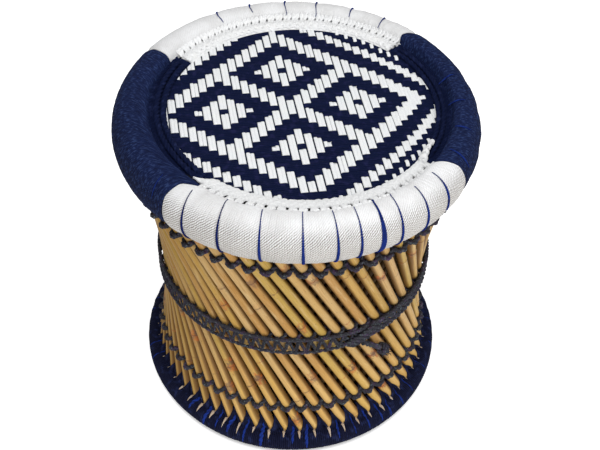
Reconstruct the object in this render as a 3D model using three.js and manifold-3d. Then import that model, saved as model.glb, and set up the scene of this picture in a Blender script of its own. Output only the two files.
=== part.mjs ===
// Woven cane stool: two leaning layers of straight reeds between a corded rim and a corded base ring.
// Units are millimetres, +Z is up, the stool stands on z = 0 and its axis is the Z axis.

import * as THREE from "three";
import { mergeVertices } from "three/addons/utils/BufferGeometryUtils.js";
import Module from "manifold-3d";

const wasm = await Module();
wasm.setup();

// Fits shared by all pieces
const FIT_GAP = 0.3;
const SLOT_CLEARANCE = 0.7;

// Height of the stool
const STOOL_HEIGHT = 387;

// Reeds
const REED_DIAMETER = 11.6;
const INNER_REED_DIAMETER = 10.6;
const REED_GAP = 2.2;
const LAYER_GAP = 0.4;
const REED_LEAN_DEGREES = 26;
const WAIST_HEIGHT = 162;
const PANELS = 12;
const REEDS_PER_PANEL = 5;
const REED_SIDES = 8;
const INNER_REED_SIDES = 6;
const FIRST_REED_DEGREES = -133.9;
const BINDING_WIDTH = 4;
const BINDING_HEIGHT = 3;

// Rim: hoop core and corded wrap in four sections
const RIM_HALF_HEIGHT = 29.7;
const RIM_OUTER_WALL = 12.2;
const RIM_INNER_WALL = 5.2;
const RIM_CORE_HALF_HEIGHT = 15.5;
const RIM_CORE_RISE = 4.5;
const RIM_SECTION_DEGREES = {
  front: [-131, -30],
  right: [-30, 44.5],
  back: [44.5, 154],
  left: [154, 229],
};

// Seat: two crossing sheets of flat cord, edged with a chain braid; it lies below the rim's top
const SEAT_DROP = 12.6;
const SHEET_THICKNESS = 1.8;
const SEAT_OFFSET = 3;
const BRAID_DIAMETER = 5.2;
const BRAID_TIP_DIAMETER = 4;
const BRAID_TIP_LENGTH = 22;

// Accent cord laid over the rim wrap
const ACCENT_THICKNESS = 0.8;
const ACCENT_CLEARANCE = 1;
const ACCENT_WIDTH = 2.2;
const WIDE_ACCENT_WIDTH = 5;
const ACCENT_RUN_WIDTH = 2.4;
const ACCENT_DEGREES = {
  front: [-123, -111.3, -99.2, -86.6, -77.2, -70.2, -63.5, -57, -47.6, -39],
  right: [-25.5, -12.9, 1.4, 15.6],
  back: [57.3, 70.6, 84.4, 96.8, 110.4, 123.9, 136.4],
  left: [226],
};
const WIDE_ACCENT_DEGREES = -63.5;

// Twined cords that loop in front of each outer reed; the upper one hangs below the rim
const TWINE_DIAMETER = 4.8;
const UPPER_TWINE_DROP = 20.8;
const LOWER_TWINE_HEIGHT = 65.2;
const TWINE_DIP = 1.7;
const TWINE_SAG = 1.4;

// Plaited belt tied round the waist
const BELT_RISE = 11;
const BELT_WIDTH = 27;
const BELT_THICKNESS = 6;
const TAIL_DIAMETER = 6;
const TAIL_DROP = 30;
const TAIL_START_DEGREES = -58;
const TAIL_SWEEP_DEGREES = 9;
const KNOT_DIAMETER = 15;

// Base ring
const BASE_LIP_HEIGHT = 24;
const BASE_LIP_WIDTH = 9;
const BASE_INNER_WALL = 4.8;
const BASE_INNER_HEIGHT = 19;
const BASE_FLOOR = 3.6;
const BASE_HOOP_HEIGHT = 6.5;
const BASE_ACCENTS = 30;
const BASE_ACCENT_WIDTH = 3;

// Facets
const RING_STEPS = 48;
const RIM_POINTS = 14;
const ARCH_POINTS = 6;
const CORD_SIDES = 4;

const COLORS = {
  white: 0xe9ecee,
  navy: 0x1b2150,
  blue: 0x22399a,
  reed: 0xc9a561,
  innerReed: 0xa88448,
  twine: 0x4b4855,
  hoop: 0x2c2a28,
};

const radians = THREE.MathUtils.degToRad;

// Reed layers: straight reeds leaning alike lie on a hyperboloid; the two layers lean opposite ways
const lean = radians(REED_LEAN_DEGREES);
const reedCount = PANELS * REEDS_PER_PANEL;
const reedPitch = (REED_DIAMETER + REED_GAP) / Math.cos(lean);
const outerWaistRadius = (reedPitch * reedCount) / (2 * Math.PI);
const innerWaistRadius = outerWaistRadius - (REED_DIAMETER + INNER_REED_DIAMETER) / 2 - LAYER_GAP;
const layers = {
  outer: {
    waist: outerWaistRadius,
    slope: -Math.tan(lean),
    radius: REED_DIAMETER / 2,
    sides: REED_SIDES,
  },
  inner: {
    waist: innerWaistRadius,
    slope: (Math.tan(lean) * innerWaistRadius) / outerWaistRadius,
    radius: INNER_REED_DIAMETER / 2,
    sides: INNER_REED_SIDES,
  },
};

function layerRadius(layer, z) {
  return Math.hypot(layer.waist, layer.slope * (z - WAIST_HEIGHT));
}

// Rim section: an ellipse cut by the slot that takes the reed tops
const rimCentreHeight = STOOL_HEIGHT - RIM_HALF_HEIGHT;
const rimCoreHeight = rimCentreHeight + RIM_CORE_RISE;
const bindingTop = rimCoreHeight - RIM_CORE_HALF_HEIGHT - FIT_GAP;
const bindingBottom = bindingTop - BINDING_HEIGHT;
const rimBottom = STOOL_HEIGHT - 2 * RIM_HALF_HEIGHT;
const seatHeight = STOOL_HEIGHT - SEAT_DROP;
const upperTwineHeight = rimBottom - UPPER_TWINE_DROP;
const rimSlotOuter = layerRadius(layers.outer, bindingTop) + layers.outer.radius + SLOT_CLEARANCE;
const rimSlotInner = layerRadius(layers.inner, rimBottom) - layers.inner.radius - SLOT_CLEARANCE;
const rimOuter = rimSlotOuter + RIM_OUTER_WALL;
const rimInner = rimSlotInner - RIM_INNER_WALL;
const rimCentre = (rimOuter + rimInner) / 2;
const rimHalfWidth = (rimOuter - rimInner) / 2;
const slotCentre = (rimSlotOuter + rimSlotInner) / 2;
const slotHalfWidth = (rimSlotOuter - rimSlotInner) / 2;

// Base section
const reedBottom = BASE_FLOOR + BASE_HOOP_HEIGHT + 2 * FIT_GAP;
const baseSlotOuter = layerRadius(layers.outer, reedBottom) + layers.outer.radius + SLOT_CLEARANCE;
const baseSlotInner =
  layerRadius(layers.inner, BASE_LIP_HEIGHT) - layers.inner.radius - SLOT_CLEARANCE;
const baseLipCentre = baseSlotOuter + SLOT_CLEARANCE;
const baseLipHalfHeight = BASE_LIP_HEIGHT / 2;
const baseOuter = baseLipCentre + BASE_LIP_WIDTH;
const baseInner = baseSlotInner - BASE_INNER_WALL;

// The inner flank of the rim, where the seat hangs, is off centre along X by SEAT_OFFSET
const FLANK_FADE_SHARE = 0.4;
const FLANK_REACH_SHARE = 0.5;

function flankWeight(r, z) {
  const up = (z - rimCentreHeight) / (FLANK_FADE_SHARE * RIM_HALF_HEIGHT);
  const inward = (rimCentre - r) / (FLANK_REACH_SHARE * rimHalfWidth);
  return THREE.MathUtils.clamp(up, 0, 1) * THREE.MathUtils.clamp(inward, 0, 1);
}

function flankRadius(z) {
  const drop = (z - rimCentreHeight) / RIM_HALF_HEIGHT;
  return rimCentre - rimHalfWidth * Math.sqrt(1 - drop * drop);
}

// Builds a closed body from rows of points; rows join in a loop or end in caps
function bodyFromRows(rows, loop, cap) {
  const count = rows[0].length;
  const positions = rows.flat(2);
  const indices = [];
  const spans = loop ? rows.length : rows.length - 1;
  for (let j = 0; j < spans; j += 1) {
    const next = (j + 1) % rows.length;
    for (let i = 0; i < count; i += 1) {
      const a = j * count + i;
      const b = j * count + ((i + 1) % count);
      const c = next * count + ((i + 1) % count);
      const d = next * count + i;
      indices.push(a, b, c, a, c, d);
    }
  }
  if (!loop) {
    const last = (rows.length - 1) * count;
    for (const [p, q, r] of cap) {
      indices.push(r, q, p);
      indices.push(last + p, last + q, last + r);
    }
  }
  if (signedVolume(positions, indices) < 0) {
    for (let t = 0; t < indices.length; t += 3) {
      [indices[t], indices[t + 1]] = [indices[t + 1], indices[t]];
    }
  }
  const geometry = new THREE.BufferGeometry();
  geometry.setAttribute("position", new THREE.Float32BufferAttribute(positions, 3));
  geometry.setIndex(indices);
  return geometry;
}

function signedVolume(positions, indices) {
  let sum = 0;
  const corner = (k) => new THREE.Vector3().fromArray(positions, 3 * k);
  for (let t = 0; t < indices.length; t += 3) {
    const [a, b, c] = [0, 1, 2].map((k) => corner(indices[t + k]));
    sum += a.dot(b.cross(c));
  }
  return sum;
}

// Sweeps a closed outline of [r, z, weight] points about the Z axis between two angles
function sweepOutline(points, startDegrees, endDegrees, steps) {
  const clockwise = THREE.ShapeUtils.isClockWise(points.map(([r, z]) => new THREE.Vector2(r, z)));
  const outline = clockwise ? [...points].reverse() : points;
  const full = endDegrees - startDegrees >= 360;
  const rows = [];
  const rowCount = full ? steps : steps + 1;
  for (let j = 0; j < rowCount; j += 1) {
    const angle = radians(startDegrees + ((endDegrees - startDegrees) * j) / steps);
    rows.push(
      outline.map(([r, z, weight = 0]) => [
        r * Math.cos(angle) + weight * SEAT_OFFSET,
        r * Math.sin(angle),
        z,
      ]),
    );
  }
  const flat = outline.map(([r, z]) => new THREE.Vector2(r, z));
  const cap = full ? [] : THREE.ShapeUtils.triangulateShape(flat, []);
  return bodyFromRows(rows, full, cap);
}

function sectionSteps(startDegrees, endDegrees) {
  return Math.max(1, Math.round((RING_STEPS * (endDegrees - startDegrees)) / 360));
}

// Degrees that a length takes up on a circle
function arcDegrees(length, radius) {
  return THREE.MathUtils.radToDeg(length / radius);
}

function ellipsePoint(centreR, centreZ, halfWidth, halfHeight, angle) {
  return [centreR + halfWidth * Math.cos(angle), centreZ + halfHeight * Math.sin(angle)];
}

// Angle on the rim ellipse at which its radius is r, on the lower (-1) or upper (+1) side
function rimAngle(r, side) {
  return side * Math.acos((r - rimCentre) / rimHalfWidth);
}

function rimOutline() {
  const points = rimPointAngles().map((angle) => {
    const [r, z] = ellipsePoint(rimCentre, rimCentreHeight, rimHalfWidth, RIM_HALF_HEIGHT, angle);
    return [r, z, flankWeight(r, z)];
  });
  for (let i = 0; i <= ARCH_POINTS; i += 1) {
    const angle = Math.PI - (Math.PI * i) / ARCH_POINTS;
    const archHeight = RIM_CORE_HALF_HEIGHT + FIT_GAP;
    points.push(ellipsePoint(slotCentre, rimCoreHeight, slotHalfWidth, archHeight, angle));
  }
  return points;
}

function coreOutline() {
  const points = [];
  const halfWidth = slotHalfWidth - SLOT_CLEARANCE;
  for (let i = 0; i < ARCH_POINTS; i += 1) {
    const angle = (2 * Math.PI * i) / ARCH_POINTS;
    points.push(ellipsePoint(slotCentre, rimCoreHeight, halfWidth, RIM_CORE_HALF_HEIGHT, angle));
  }
  return points;
}

function boxOutline(innerR, outerR, bottom, top, weight = 0) {
  return [
    [innerR, bottom, weight],
    [outerR, bottom, weight],
    [outerR, top, weight],
    [innerR, top, weight],
  ];
}

// Strip that follows the rim facets from the underside run up and over to the braid
const accentEnd = flankRadius(seatHeight + BRAID_DIAMETER) + ACCENT_WIDTH;

function rimPointAngles() {
  const start = rimAngle(rimSlotOuter, -1);
  const end = 2 * Math.PI + rimAngle(rimSlotInner, -1);
  const angles = [];
  for (let i = 0; i <= RIM_POINTS; i += 1) {
    angles.push(start + ((end - start) * i) / RIM_POINTS);
  }
  return angles;
}

function accentStrip(angles) {
  const low = [];
  const high = [];
  for (const angle of angles) {
    const [r, z] = ellipsePoint(rimCentre, rimCentreHeight, rimHalfWidth, RIM_HALF_HEIGHT, angle);
    const weight = flankWeight(r, z);
    for (const [row, lift] of [
      [low, 0],
      [high, ACCENT_THICKNESS],
    ]) {
      const [liftedR, liftedZ] = ellipsePoint(
        rimCentre,
        rimCentreHeight,
        rimHalfWidth + ACCENT_CLEARANCE + lift,
        RIM_HALF_HEIGHT + ACCENT_CLEARANCE / 2 + lift,
        angle,
      );
      row.push([liftedR, liftedZ, weight]);
    }
  }
  return [...high, ...low.reverse()];
}

const accentStart = rimAngle(rimSlotOuter + ACCENT_RUN_WIDTH, -1);

function accentOutline() {
  const end = rimAngle(accentEnd, 1);
  const between = rimPointAngles().filter((angle) => angle > accentStart && angle < end);
  return accentStrip([accentStart, ...between, end]);
}

function accentRunOutline() {
  return accentStrip([accentStart, rimAngle(rimSlotOuter + 2 * ACCENT_RUN_WIDTH, -1)]);
}

// Manifold helpers for the few joins
function toManifold(geometry) {
  const welded = mergeVertices(geometry);
  return new wasm.Manifold(
    new wasm.Mesh({
      numProp: 3,
      vertProperties: new Float32Array(welded.attributes.position.array),
      triVerts: new Uint32Array(welded.index.array),
    }),
  );
}

function fromManifold(solid) {
  const mesh = solid.getMesh();
  const geometry = new THREE.BufferGeometry();
  const positions = new Float32Array(mesh.vertProperties);
  geometry.setAttribute("position", new THREE.BufferAttribute(positions, 3));
  geometry.setIndex(new THREE.BufferAttribute(new Uint32Array(mesh.triVerts), 1));
  return geometry;
}

function joined(geometries) {
  return fromManifold(wasm.Manifold.union(geometries.map(toManifold)));
}

// One straight reed, cut level at both ends; its skew cut ends are sheared rounds
function reedGeometry(layer, waistAngle, bottom, top) {
  const side = new THREE.Vector3(-Math.sin(waistAngle), Math.cos(waistAngle), 0);
  const out = new THREE.Vector3(Math.cos(waistAngle), Math.sin(waistAngle), 0);
  const up = new THREE.Vector3(0, 0, 1);
  const axis = up.clone().addScaledVector(side, layer.slope);
  const across = side.clone().addScaledVector(up, -layer.slope).normalize();
  const foot = out.clone().multiplyScalar(layer.waist).setZ(WAIST_HEIGHT);
  const rows = [bottom, top].map((z) => {
    const row = [];
    for (let i = 0; i < layer.sides; i += 1) {
      const angle = (2 * Math.PI * i) / layer.sides;
      const point = foot
        .clone()
        .addScaledVector(out, layer.radius * Math.cos(angle))
        .addScaledVector(across, layer.radius * Math.sin(angle));
      point.addScaledVector(axis, z - point.z);
      row.push(point.toArray());
    }
    return row;
  });
  const flat = rows[0].map((_, i) => {
    const angle = (2 * Math.PI * i) / layer.sides;
    return new THREE.Vector2(Math.cos(angle), Math.sin(angle));
  });
  return bodyFromRows(rows, false, THREE.ShapeUtils.triangulateShape(flat, []));
}

// Angle of a reed's axis at height z, for the reed whose waist angle is given
function reedAngle(layer, waistAngle, z) {
  return waistAngle + Math.atan2(layer.slope * (z - WAIST_HEIGHT), layer.waist);
}

// Hidden binding over the reed tops of one panel, inside the rim slot
function bindingGeometry(layer, angles, bottom) {
  const radius = layerRadius(layer, bottom);
  const section = boxOutline(
    radius - BINDING_WIDTH / 2,
    radius + BINDING_WIDTH / 2,
    bottom,
    bottom + BINDING_HEIGHT,
  );
  const rows = angles.map((waistAngle) => {
    const angle = reedAngle(layer, waistAngle, bottom);
    return section.map(([r, z]) => [r * Math.cos(angle), r * Math.sin(angle), z]);
  });
  return bodyFromRows(rows, false, [
    [0, 1, 2],
    [0, 2, 3],
  ]);
}

function panelGeometry(layer, firstWaistAngle) {
  const angles = [];
  for (let i = 0; i < REEDS_PER_PANEL; i += 1) {
    angles.push(firstWaistAngle + (2 * Math.PI * i) / reedCount);
  }
  const pieces = angles.map((angle) => reedGeometry(layer, angle, reedBottom, bindingBottom));
  pieces.push(bindingGeometry(layer, angles, bindingBottom));
  return joined(pieces);
}

// Round cord along a path; the outward direction keeps its facets steady
function cordGeometry(path, diameter, loop, sides = CORD_SIDES) {
  const last = path.length - 1;
  const rows = path.map((point, i) => {
    const before = loop ? path[(i + last) % path.length] : path[Math.max(0, i - 1)];
    const after = loop ? path[(i + 1) % path.length] : path[Math.min(last, i + 1)];
    const tangent = after.clone().sub(before).normalize();
    const outward = new THREE.Vector3(point.x, point.y, 0).normalize();
    outward.addScaledVector(tangent, -outward.dot(tangent)).normalize();
    const across = tangent.clone().cross(outward);
    const row = [];
    for (let k = 0; k < sides; k += 1) {
      const angle = (2 * Math.PI * k) / sides;
      row.push(
        point
          .clone()
          .addScaledVector(outward, (diameter / 2) * Math.cos(angle))
          .addScaledVector(across, (diameter / 2) * Math.sin(angle))
          .toArray(),
      );
    }
    return row;
  });
  const flat = [];
  for (let k = 0; k < sides; k += 1) {
    const angle = (2 * Math.PI * k) / sides;
    flat.push(new THREE.Vector2(Math.cos(angle), Math.sin(angle)));
  }
  return bodyFromRows(rows, loop, THREE.ShapeUtils.triangulateShape(flat, []));
}

function around(radius, angle, z) {
  return new THREE.Vector3(radius * Math.cos(angle), radius * Math.sin(angle), z);
}

// Twined cord: in front of each outer reed it bulges out and sags, between reeds it dips in
const TWINE_STEPS_PER_REED = 2;
const firstReedWaistAngle =
  radians(FIRST_REED_DEGREES) -
  Math.atan2(layers.outer.slope * (upperTwineHeight - WAIST_HEIGHT), layers.outer.waist);

function twineGeometry(z) {
  const front = layerRadius(layers.outer, z) + layers.outer.radius + FIT_GAP + TWINE_DIAMETER / 2;
  const phase = reedAngle(layers.outer, firstReedWaistAngle, z);
  const steps = reedCount * TWINE_STEPS_PER_REED;
  const path = [];
  for (let i = 0; i < steps; i += 1) {
    const wave = Math.cos((2 * Math.PI * i) / TWINE_STEPS_PER_REED);
    const radius = front - (TWINE_DIP * (1 - wave)) / 2;
    path.push(around(radius, phase + (2 * Math.PI * i) / steps, z - TWINE_SAG * wave));
  }
  return cordGeometry(path, TWINE_DIAMETER, true);
}

// Belt: a band drawn round the waist, with a tail that hangs to its knot
const beltHeight = WAIST_HEIGHT + BELT_RISE;
const beltBottom = beltHeight - BELT_WIDTH / 2;
const beltTop = beltHeight + BELT_WIDTH / 2;
const beltReach = Math.max(
  layerRadius(layers.outer, beltTop),
  layerRadius(layers.outer, beltBottom),
);
const beltInner = beltReach + layers.outer.radius + SLOT_CLEARANCE;
const waistTwineHeight = beltTop + TWINE_SAG + TWINE_DIAMETER / 2 + FIT_GAP;

function beltOutline() {
  const outer = beltInner + BELT_THICKNESS;
  const bevel = BELT_THICKNESS / 3;
  return [
    [beltInner, beltBottom],
    [outer - bevel, beltBottom],
    [outer, beltBottom + bevel],
    [outer, beltTop - bevel],
    [outer - bevel, beltTop],
    [beltInner, beltTop],
  ];
}

const TAIL_STEPS = 4;
const tailRadius = beltInner + TAIL_DIAMETER / 2;

function tailPoint(share) {
  const angle = radians(TAIL_START_DEGREES + TAIL_SWEEP_DEGREES * share);
  const z = beltBottom - FIT_GAP - TAIL_DIAMETER / 2 - TAIL_DROP * share;
  return around(tailRadius, angle, z);
}

function tailGeometry() {
  const path = [];
  for (let i = 0; i <= TAIL_STEPS; i += 1) {
    path.push(tailPoint(i / TAIL_STEPS));
  }
  return cordGeometry(path, TAIL_DIAMETER, false);
}

function knotGeometry() {
  const end = tailPoint(1);
  const direction = end.clone().sub(tailPoint(1 - 1 / TAIL_STEPS)).normalize();
  const angle = Math.atan2(end.y, end.x);
  const centre = end.clone().addScaledVector(direction, KNOT_DIAMETER / 2 + FIT_GAP);
  const outward = new THREE.Vector3(Math.cos(angle), Math.sin(angle), 0);
  centre.addScaledVector(outward, (KNOT_DIAMETER - TAIL_DIAMETER) / 2);
  const geometry = mergeVertices(dropExtras(new THREE.IcosahedronGeometry(KNOT_DIAMETER / 2, 1)));
  geometry.translate(centre.x, centre.y, centre.z);
  return geometry;
}

function dropExtras(geometry) {
  geometry.deleteAttribute("normal");
  geometry.deleteAttribute("uv");
  return geometry;
}

// Seat sheets hang inside the rim flank; the upper one falls away at its edge, under the braid
const SHEET_EDGE_GAP = 0.6;
const SHEET_EDGE_DROP = 0.9;
const weftBottom = seatHeight - SHEET_THICKNESS;
const warpTop = weftBottom - FIT_GAP;
const warpBottom = warpTop - SHEET_THICKNESS;

function sheetGeometry(rings) {
  const circle = [];
  for (let i = 0; i < RING_STEPS; i += 1) {
    const angle = (2 * Math.PI * i) / RING_STEPS;
    circle.push(new THREE.Vector2(Math.cos(angle), Math.sin(angle)));
  }
  const rows = rings.map(([radius, z]) =>
    circle.map(({ x, y }) => [radius * x + SEAT_OFFSET, radius * y, z]),
  );
  return bodyFromRows(rows, false, THREE.ShapeUtils.triangulateShape(circle, []));
}

// Braid: two ridges side by side on the seat, against the rim flank
const BRAID_NECK_SHARE = 0.55;
const braidRadius = BRAID_DIAMETER / 2;
const braidHeight = seatHeight + FIT_GAP + braidRadius;
const braidOuter = flankRadius(seatHeight + FIT_GAP) - SHEET_EDGE_GAP;
const braidCentre = braidOuter - BRAID_DIAMETER;
const seatFaceRadius = braidCentre - BRAID_DIAMETER - SLOT_CLEARANCE;

function braidOutline() {
  const near = braidCentre - braidRadius;
  const far = braidCentre + braidRadius;
  const low = braidHeight - braidRadius;
  const neck = braidHeight + braidRadius * BRAID_NECK_SHARE;
  const shoulder = braidRadius / Math.SQRT2;
  return [
    [near - shoulder, low],
    [far + shoulder, low],
    [far + braidRadius, braidHeight],
    [far + shoulder, braidHeight + shoulder],
    [far, braidHeight + braidRadius],
    [braidCentre, neck],
    [near, braidHeight + braidRadius],
    [near - shoulder, braidHeight + shoulder],
    [near - braidRadius, braidHeight],
  ].map(([r, z]) => [r, z, 1]);
}

// Loose end of the front braid, lying over the side braid
function braidTipGeometry() {
  const startDegrees = RIM_SECTION_DEGREES.front[1];
  const z = braidHeight + braidRadius + FIT_GAP + BRAID_TIP_DIAMETER / 2;
  const radius = braidCentre - braidRadius;
  const sweep = BRAID_TIP_LENGTH / radius;
  const path = [];
  for (let i = 0; i <= TAIL_STEPS; i += 1) {
    const share = i / TAIL_STEPS;
    const point = around(radius, radians(startDegrees) + sweep * share, z);
    point.x += SEAT_OFFSET;
    path.push(point);
  }
  return cordGeometry(path, BRAID_TIP_DIAMETER, false);
}

// Base wrap: half-round lip outside the reed feet, thin wall inside, flat underneath
const LIP_POINTS = 6;

function baseOutline() {
  const points = [];
  for (let i = 0; i <= LIP_POINTS; i += 1) {
    const angle = -Math.PI / 2 + (Math.PI * i) / LIP_POINTS;
    const halfHeight = baseLipHalfHeight;
    points.push(ellipsePoint(baseLipCentre, halfHeight, BASE_LIP_WIDTH, halfHeight, angle));
  }
  points.push([baseSlotOuter, BASE_LIP_HEIGHT]);
  points.push([baseSlotOuter, BASE_FLOOR]);
  points.push([baseSlotInner, BASE_FLOOR]);
  points.push([baseSlotInner, BASE_INNER_HEIGHT]);
  points.push([baseInner, BASE_INNER_HEIGHT - BASE_INNER_WALL / 2]);
  points.push([baseInner, 0]);
  return points;
}

// Accent cord on the base: a run on top of the lip and a turn down over it at each place

function baseAccentOutline() {
  const low = [];
  const high = [];
  for (let i = 0; i <= LIP_POINTS / 2; i += 1) {
    const angle = Math.PI / 2 - (Math.PI * i) / LIP_POINTS;
    for (const [row, lift] of [
      [low, FIT_GAP],
      [high, FIT_GAP + ACCENT_THICKNESS],
    ]) {
      const halfWidth = BASE_LIP_WIDTH + lift;
      const halfHeight = baseLipHalfHeight + lift;
      row.push(ellipsePoint(baseLipCentre, baseLipHalfHeight, halfWidth, halfHeight, angle));
    }
  }
  return [...high, ...low.reverse()];
}

function baseAccentGeometry() {
  const bottom = BASE_LIP_HEIGHT + FIT_GAP;
  const runOutline = boxOutline(
    baseLipCentre - ACCENT_THICKNESS,
    baseLipCentre + ACCENT_THICKNESS,
    bottom,
    bottom + ACCENT_THICKNESS,
  );
  const pieces = [sweepOutline(runOutline, 0, 360, BASE_ACCENTS)];
  const half = arcDegrees(BASE_ACCENT_WIDTH, baseOuter) / 2;
  for (let i = 0; i < BASE_ACCENTS; i += 1) {
    const angle = (360 * i) / BASE_ACCENTS;
    pieces.push(sweepOutline(baseAccentOutline(), angle - half, angle + half, 1));
  }
  return joined(pieces);
}

function rimAccentGeometry(side) {
  const places = ACCENT_DEGREES[side];
  const outline = accentOutline();
  const turns = places.map((degrees) => {
    const width = degrees === WIDE_ACCENT_DEGREES ? WIDE_ACCENT_WIDTH : ACCENT_WIDTH;
    const half = arcDegrees(width, rimOuter) / 2;
    return sweepOutline(outline, degrees - half, degrees + half, 1);
  });
  if (places.length === 1) {
    return turns[0];
  }
  const first = places[0];
  const last = places[places.length - 1];
  const steps = sectionSteps(first, last);
  return joined([...turns, sweepOutline(accentRunOutline(), first, last, steps)]);
}

// Assembly
const stool = new THREE.Group();
stool.name = "cane_stool";

function addPiece(name, geometry, color) {
  const material = new THREE.MeshStandardMaterial({ color, flatShading: true });
  const mesh = new THREE.Mesh(geometry, material);
  mesh.name = name;
  stool.add(mesh);
}

const SECTION_COLORS = { front: "white", right: "navy", back: "white", left: "navy" };

for (const [side, [start, end]] of Object.entries(RIM_SECTION_DEGREES)) {
  const color = COLORS[SECTION_COLORS[side]];
  const rimEase = arcDegrees(FIT_GAP, rimInner) / 2;
  const braidEase = arcDegrees(FIT_GAP, braidCentre) / 2;
  const steps = sectionSteps(start, end);
  addPiece(
    `rim_wrap_${side}`,
    sweepOutline(rimOutline(), start + rimEase, end - rimEase, steps),
    color,
  );
  addPiece(
    `seat_braid_${side}`,
    sweepOutline(braidOutline(), start + braidEase, end - braidEase, steps),
    color,
  );
  addPiece(`rim_accent_cord_${side}`, rimAccentGeometry(side), COLORS.blue);
}
addPiece("rim_core_hoop", sweepOutline(coreOutline(), 0, 360, RING_STEPS), COLORS.hoop);

const weftEdge = flankRadius(weftBottom) - SHEET_EDGE_GAP;
const weftRings = [
  [weftEdge, weftBottom],
  [weftEdge, seatHeight - SHEET_EDGE_DROP],
  [seatFaceRadius, seatHeight],
];
addPiece("seat_weft_sheet", sheetGeometry(weftRings), COLORS.navy);
const warpEdge = flankRadius(warpBottom) - SHEET_EDGE_GAP;
const warpRings = [
  [warpEdge, warpBottom],
  [warpEdge, warpTop],
];
addPiece("seat_warp_sheet", sheetGeometry(warpRings), COLORS.white);
addPiece("seat_braid_tip", braidTipGeometry(), COLORS.white);

for (let panel = 0; panel < PANELS; panel += 1) {
  const label = String(panel + 1).padStart(2, "0");
  const turn = (2 * Math.PI * panel) / PANELS;
  addPiece(
    `outer_reed_panel_${label}`,
    panelGeometry(layers.outer, firstReedWaistAngle + turn),
    COLORS.reed,
  );
  addPiece(
    `inner_reed_panel_${label}`,
    panelGeometry(layers.inner, firstReedWaistAngle + turn),
    COLORS.innerReed,
  );
}

addPiece("twine_upper", twineGeometry(upperTwineHeight), COLORS.twine);
addPiece("twine_waist", twineGeometry(waistTwineHeight), COLORS.twine);
addPiece("twine_lower", twineGeometry(LOWER_TWINE_HEIGHT), COLORS.twine);
addPiece("waist_belt", sweepOutline(beltOutline(), 0, 360, RING_STEPS), COLORS.twine);
addPiece("belt_tail", tailGeometry(), COLORS.twine);
addPiece("belt_tail_knot", knotGeometry(), COLORS.twine);

addPiece("base_wrap", sweepOutline(baseOutline(), 0, 360, RING_STEPS), COLORS.navy);
const hoopInner = baseSlotInner + FIT_GAP;
const hoopOuter = baseSlotOuter - FIT_GAP;
const hoopBottom = BASE_FLOOR + FIT_GAP;
const hoopOutline = boxOutline(hoopInner, hoopOuter, hoopBottom, hoopBottom + BASE_HOOP_HEIGHT);
addPiece("base_core_hoop", sweepOutline(hoopOutline, 0, 360, RING_STEPS), COLORS.hoop);
addPiece("base_accent_cord", baseAccentGeometry(), COLORS.blue);

export default stool;
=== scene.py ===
import bpy
import numpy as np
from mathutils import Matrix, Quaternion, Vector
from numpy import arange, array, clip, cos, exp, interp, linspace, pi, radians, sin, sqrt, tan, where

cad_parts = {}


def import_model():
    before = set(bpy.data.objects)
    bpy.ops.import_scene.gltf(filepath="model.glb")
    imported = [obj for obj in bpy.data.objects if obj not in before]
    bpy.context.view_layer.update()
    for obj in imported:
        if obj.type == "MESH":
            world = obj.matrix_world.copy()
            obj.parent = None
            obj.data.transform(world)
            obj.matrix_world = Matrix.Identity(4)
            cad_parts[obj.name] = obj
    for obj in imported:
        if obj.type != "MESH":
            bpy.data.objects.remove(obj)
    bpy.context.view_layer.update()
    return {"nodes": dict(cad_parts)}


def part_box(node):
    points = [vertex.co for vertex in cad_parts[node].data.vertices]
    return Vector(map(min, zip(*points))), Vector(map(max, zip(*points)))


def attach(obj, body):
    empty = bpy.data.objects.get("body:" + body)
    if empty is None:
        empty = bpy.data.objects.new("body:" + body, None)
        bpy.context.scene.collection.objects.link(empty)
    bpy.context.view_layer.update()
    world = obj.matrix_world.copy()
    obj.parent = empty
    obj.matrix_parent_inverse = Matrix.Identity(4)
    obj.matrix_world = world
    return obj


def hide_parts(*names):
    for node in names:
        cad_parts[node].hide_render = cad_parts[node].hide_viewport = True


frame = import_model()
rng = np.random.default_rng(7)

# Reed layers: straight reeds, leaning opposite ways, on two hyperboloids as in the frame
REED_DIAMETER = 0.0116
INNER_REED_DIAMETER = 0.0106
REED_GAP = 0.0022
LAYER_GAP = 0.0004
REED_LEAN = radians(26)
WAIST_HEIGHT = 0.162
PANELS = 12
REEDS_PER_PANEL = 5
REED_COUNT = PANELS * REEDS_PER_PANEL
FIRST_REED_ANGLE = radians(-133.9)
REED_PITCH = 2 * pi / REED_COUNT

# Rim: section ellipse, and where each length of wound cord starts and ends, in degrees
STOOL_HEIGHT = 0.387
RIM_HALF_HEIGHT = 0.0297
RIM_OUTER_WALL = 0.0122
RIM_INNER_WALL = 0.0052
RIM_CORE_HALF_HEIGHT = 0.0155
RIM_CORE_RISE = 0.0045
SLOT_CLEARANCE = 0.0007
FIT_GAP = 0.0003
RIM_SECTIONS = {"front": (-131, -30), "right": (-30, 44.5), "back": (44.5, 154), "left": (154, 229)}
RIM_COLOURS = {"front": "white", "right": "navy", "back": "white", "left": "navy"}

# Seat, twined rows, belt and base
SEAT_OFFSET = 0.003
SEAT_EDGE_RADIUS = 0.1445
UPPER_TWINE_HEIGHT = 0.3068
WAIST_TWINE_HEIGHT = 0.1855
LOWER_TWINE_HEIGHT = 0.0652
BELT_HEIGHT = 0.173
BASE_LIP_HALF_HEIGHT = 0.012
BASE_LIP_WIDTH = 0.009
BASE_FLOOR = 0.0036


class Layer:
    """One layer of reeds. Angles are taken where a reed crosses the waist height."""

    def __init__(self, waist, slope, diameter):
        self.waist, self.slope, self.radius = waist, slope, diameter / 2

    def reach(self, z):
        return np.hypot(self.waist, self.slope * (z - WAIST_HEIGHT))

    def angle(self, waist_angle, z):
        return waist_angle + np.arctan2(self.slope * (z - WAIST_HEIGHT), self.waist)


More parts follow.
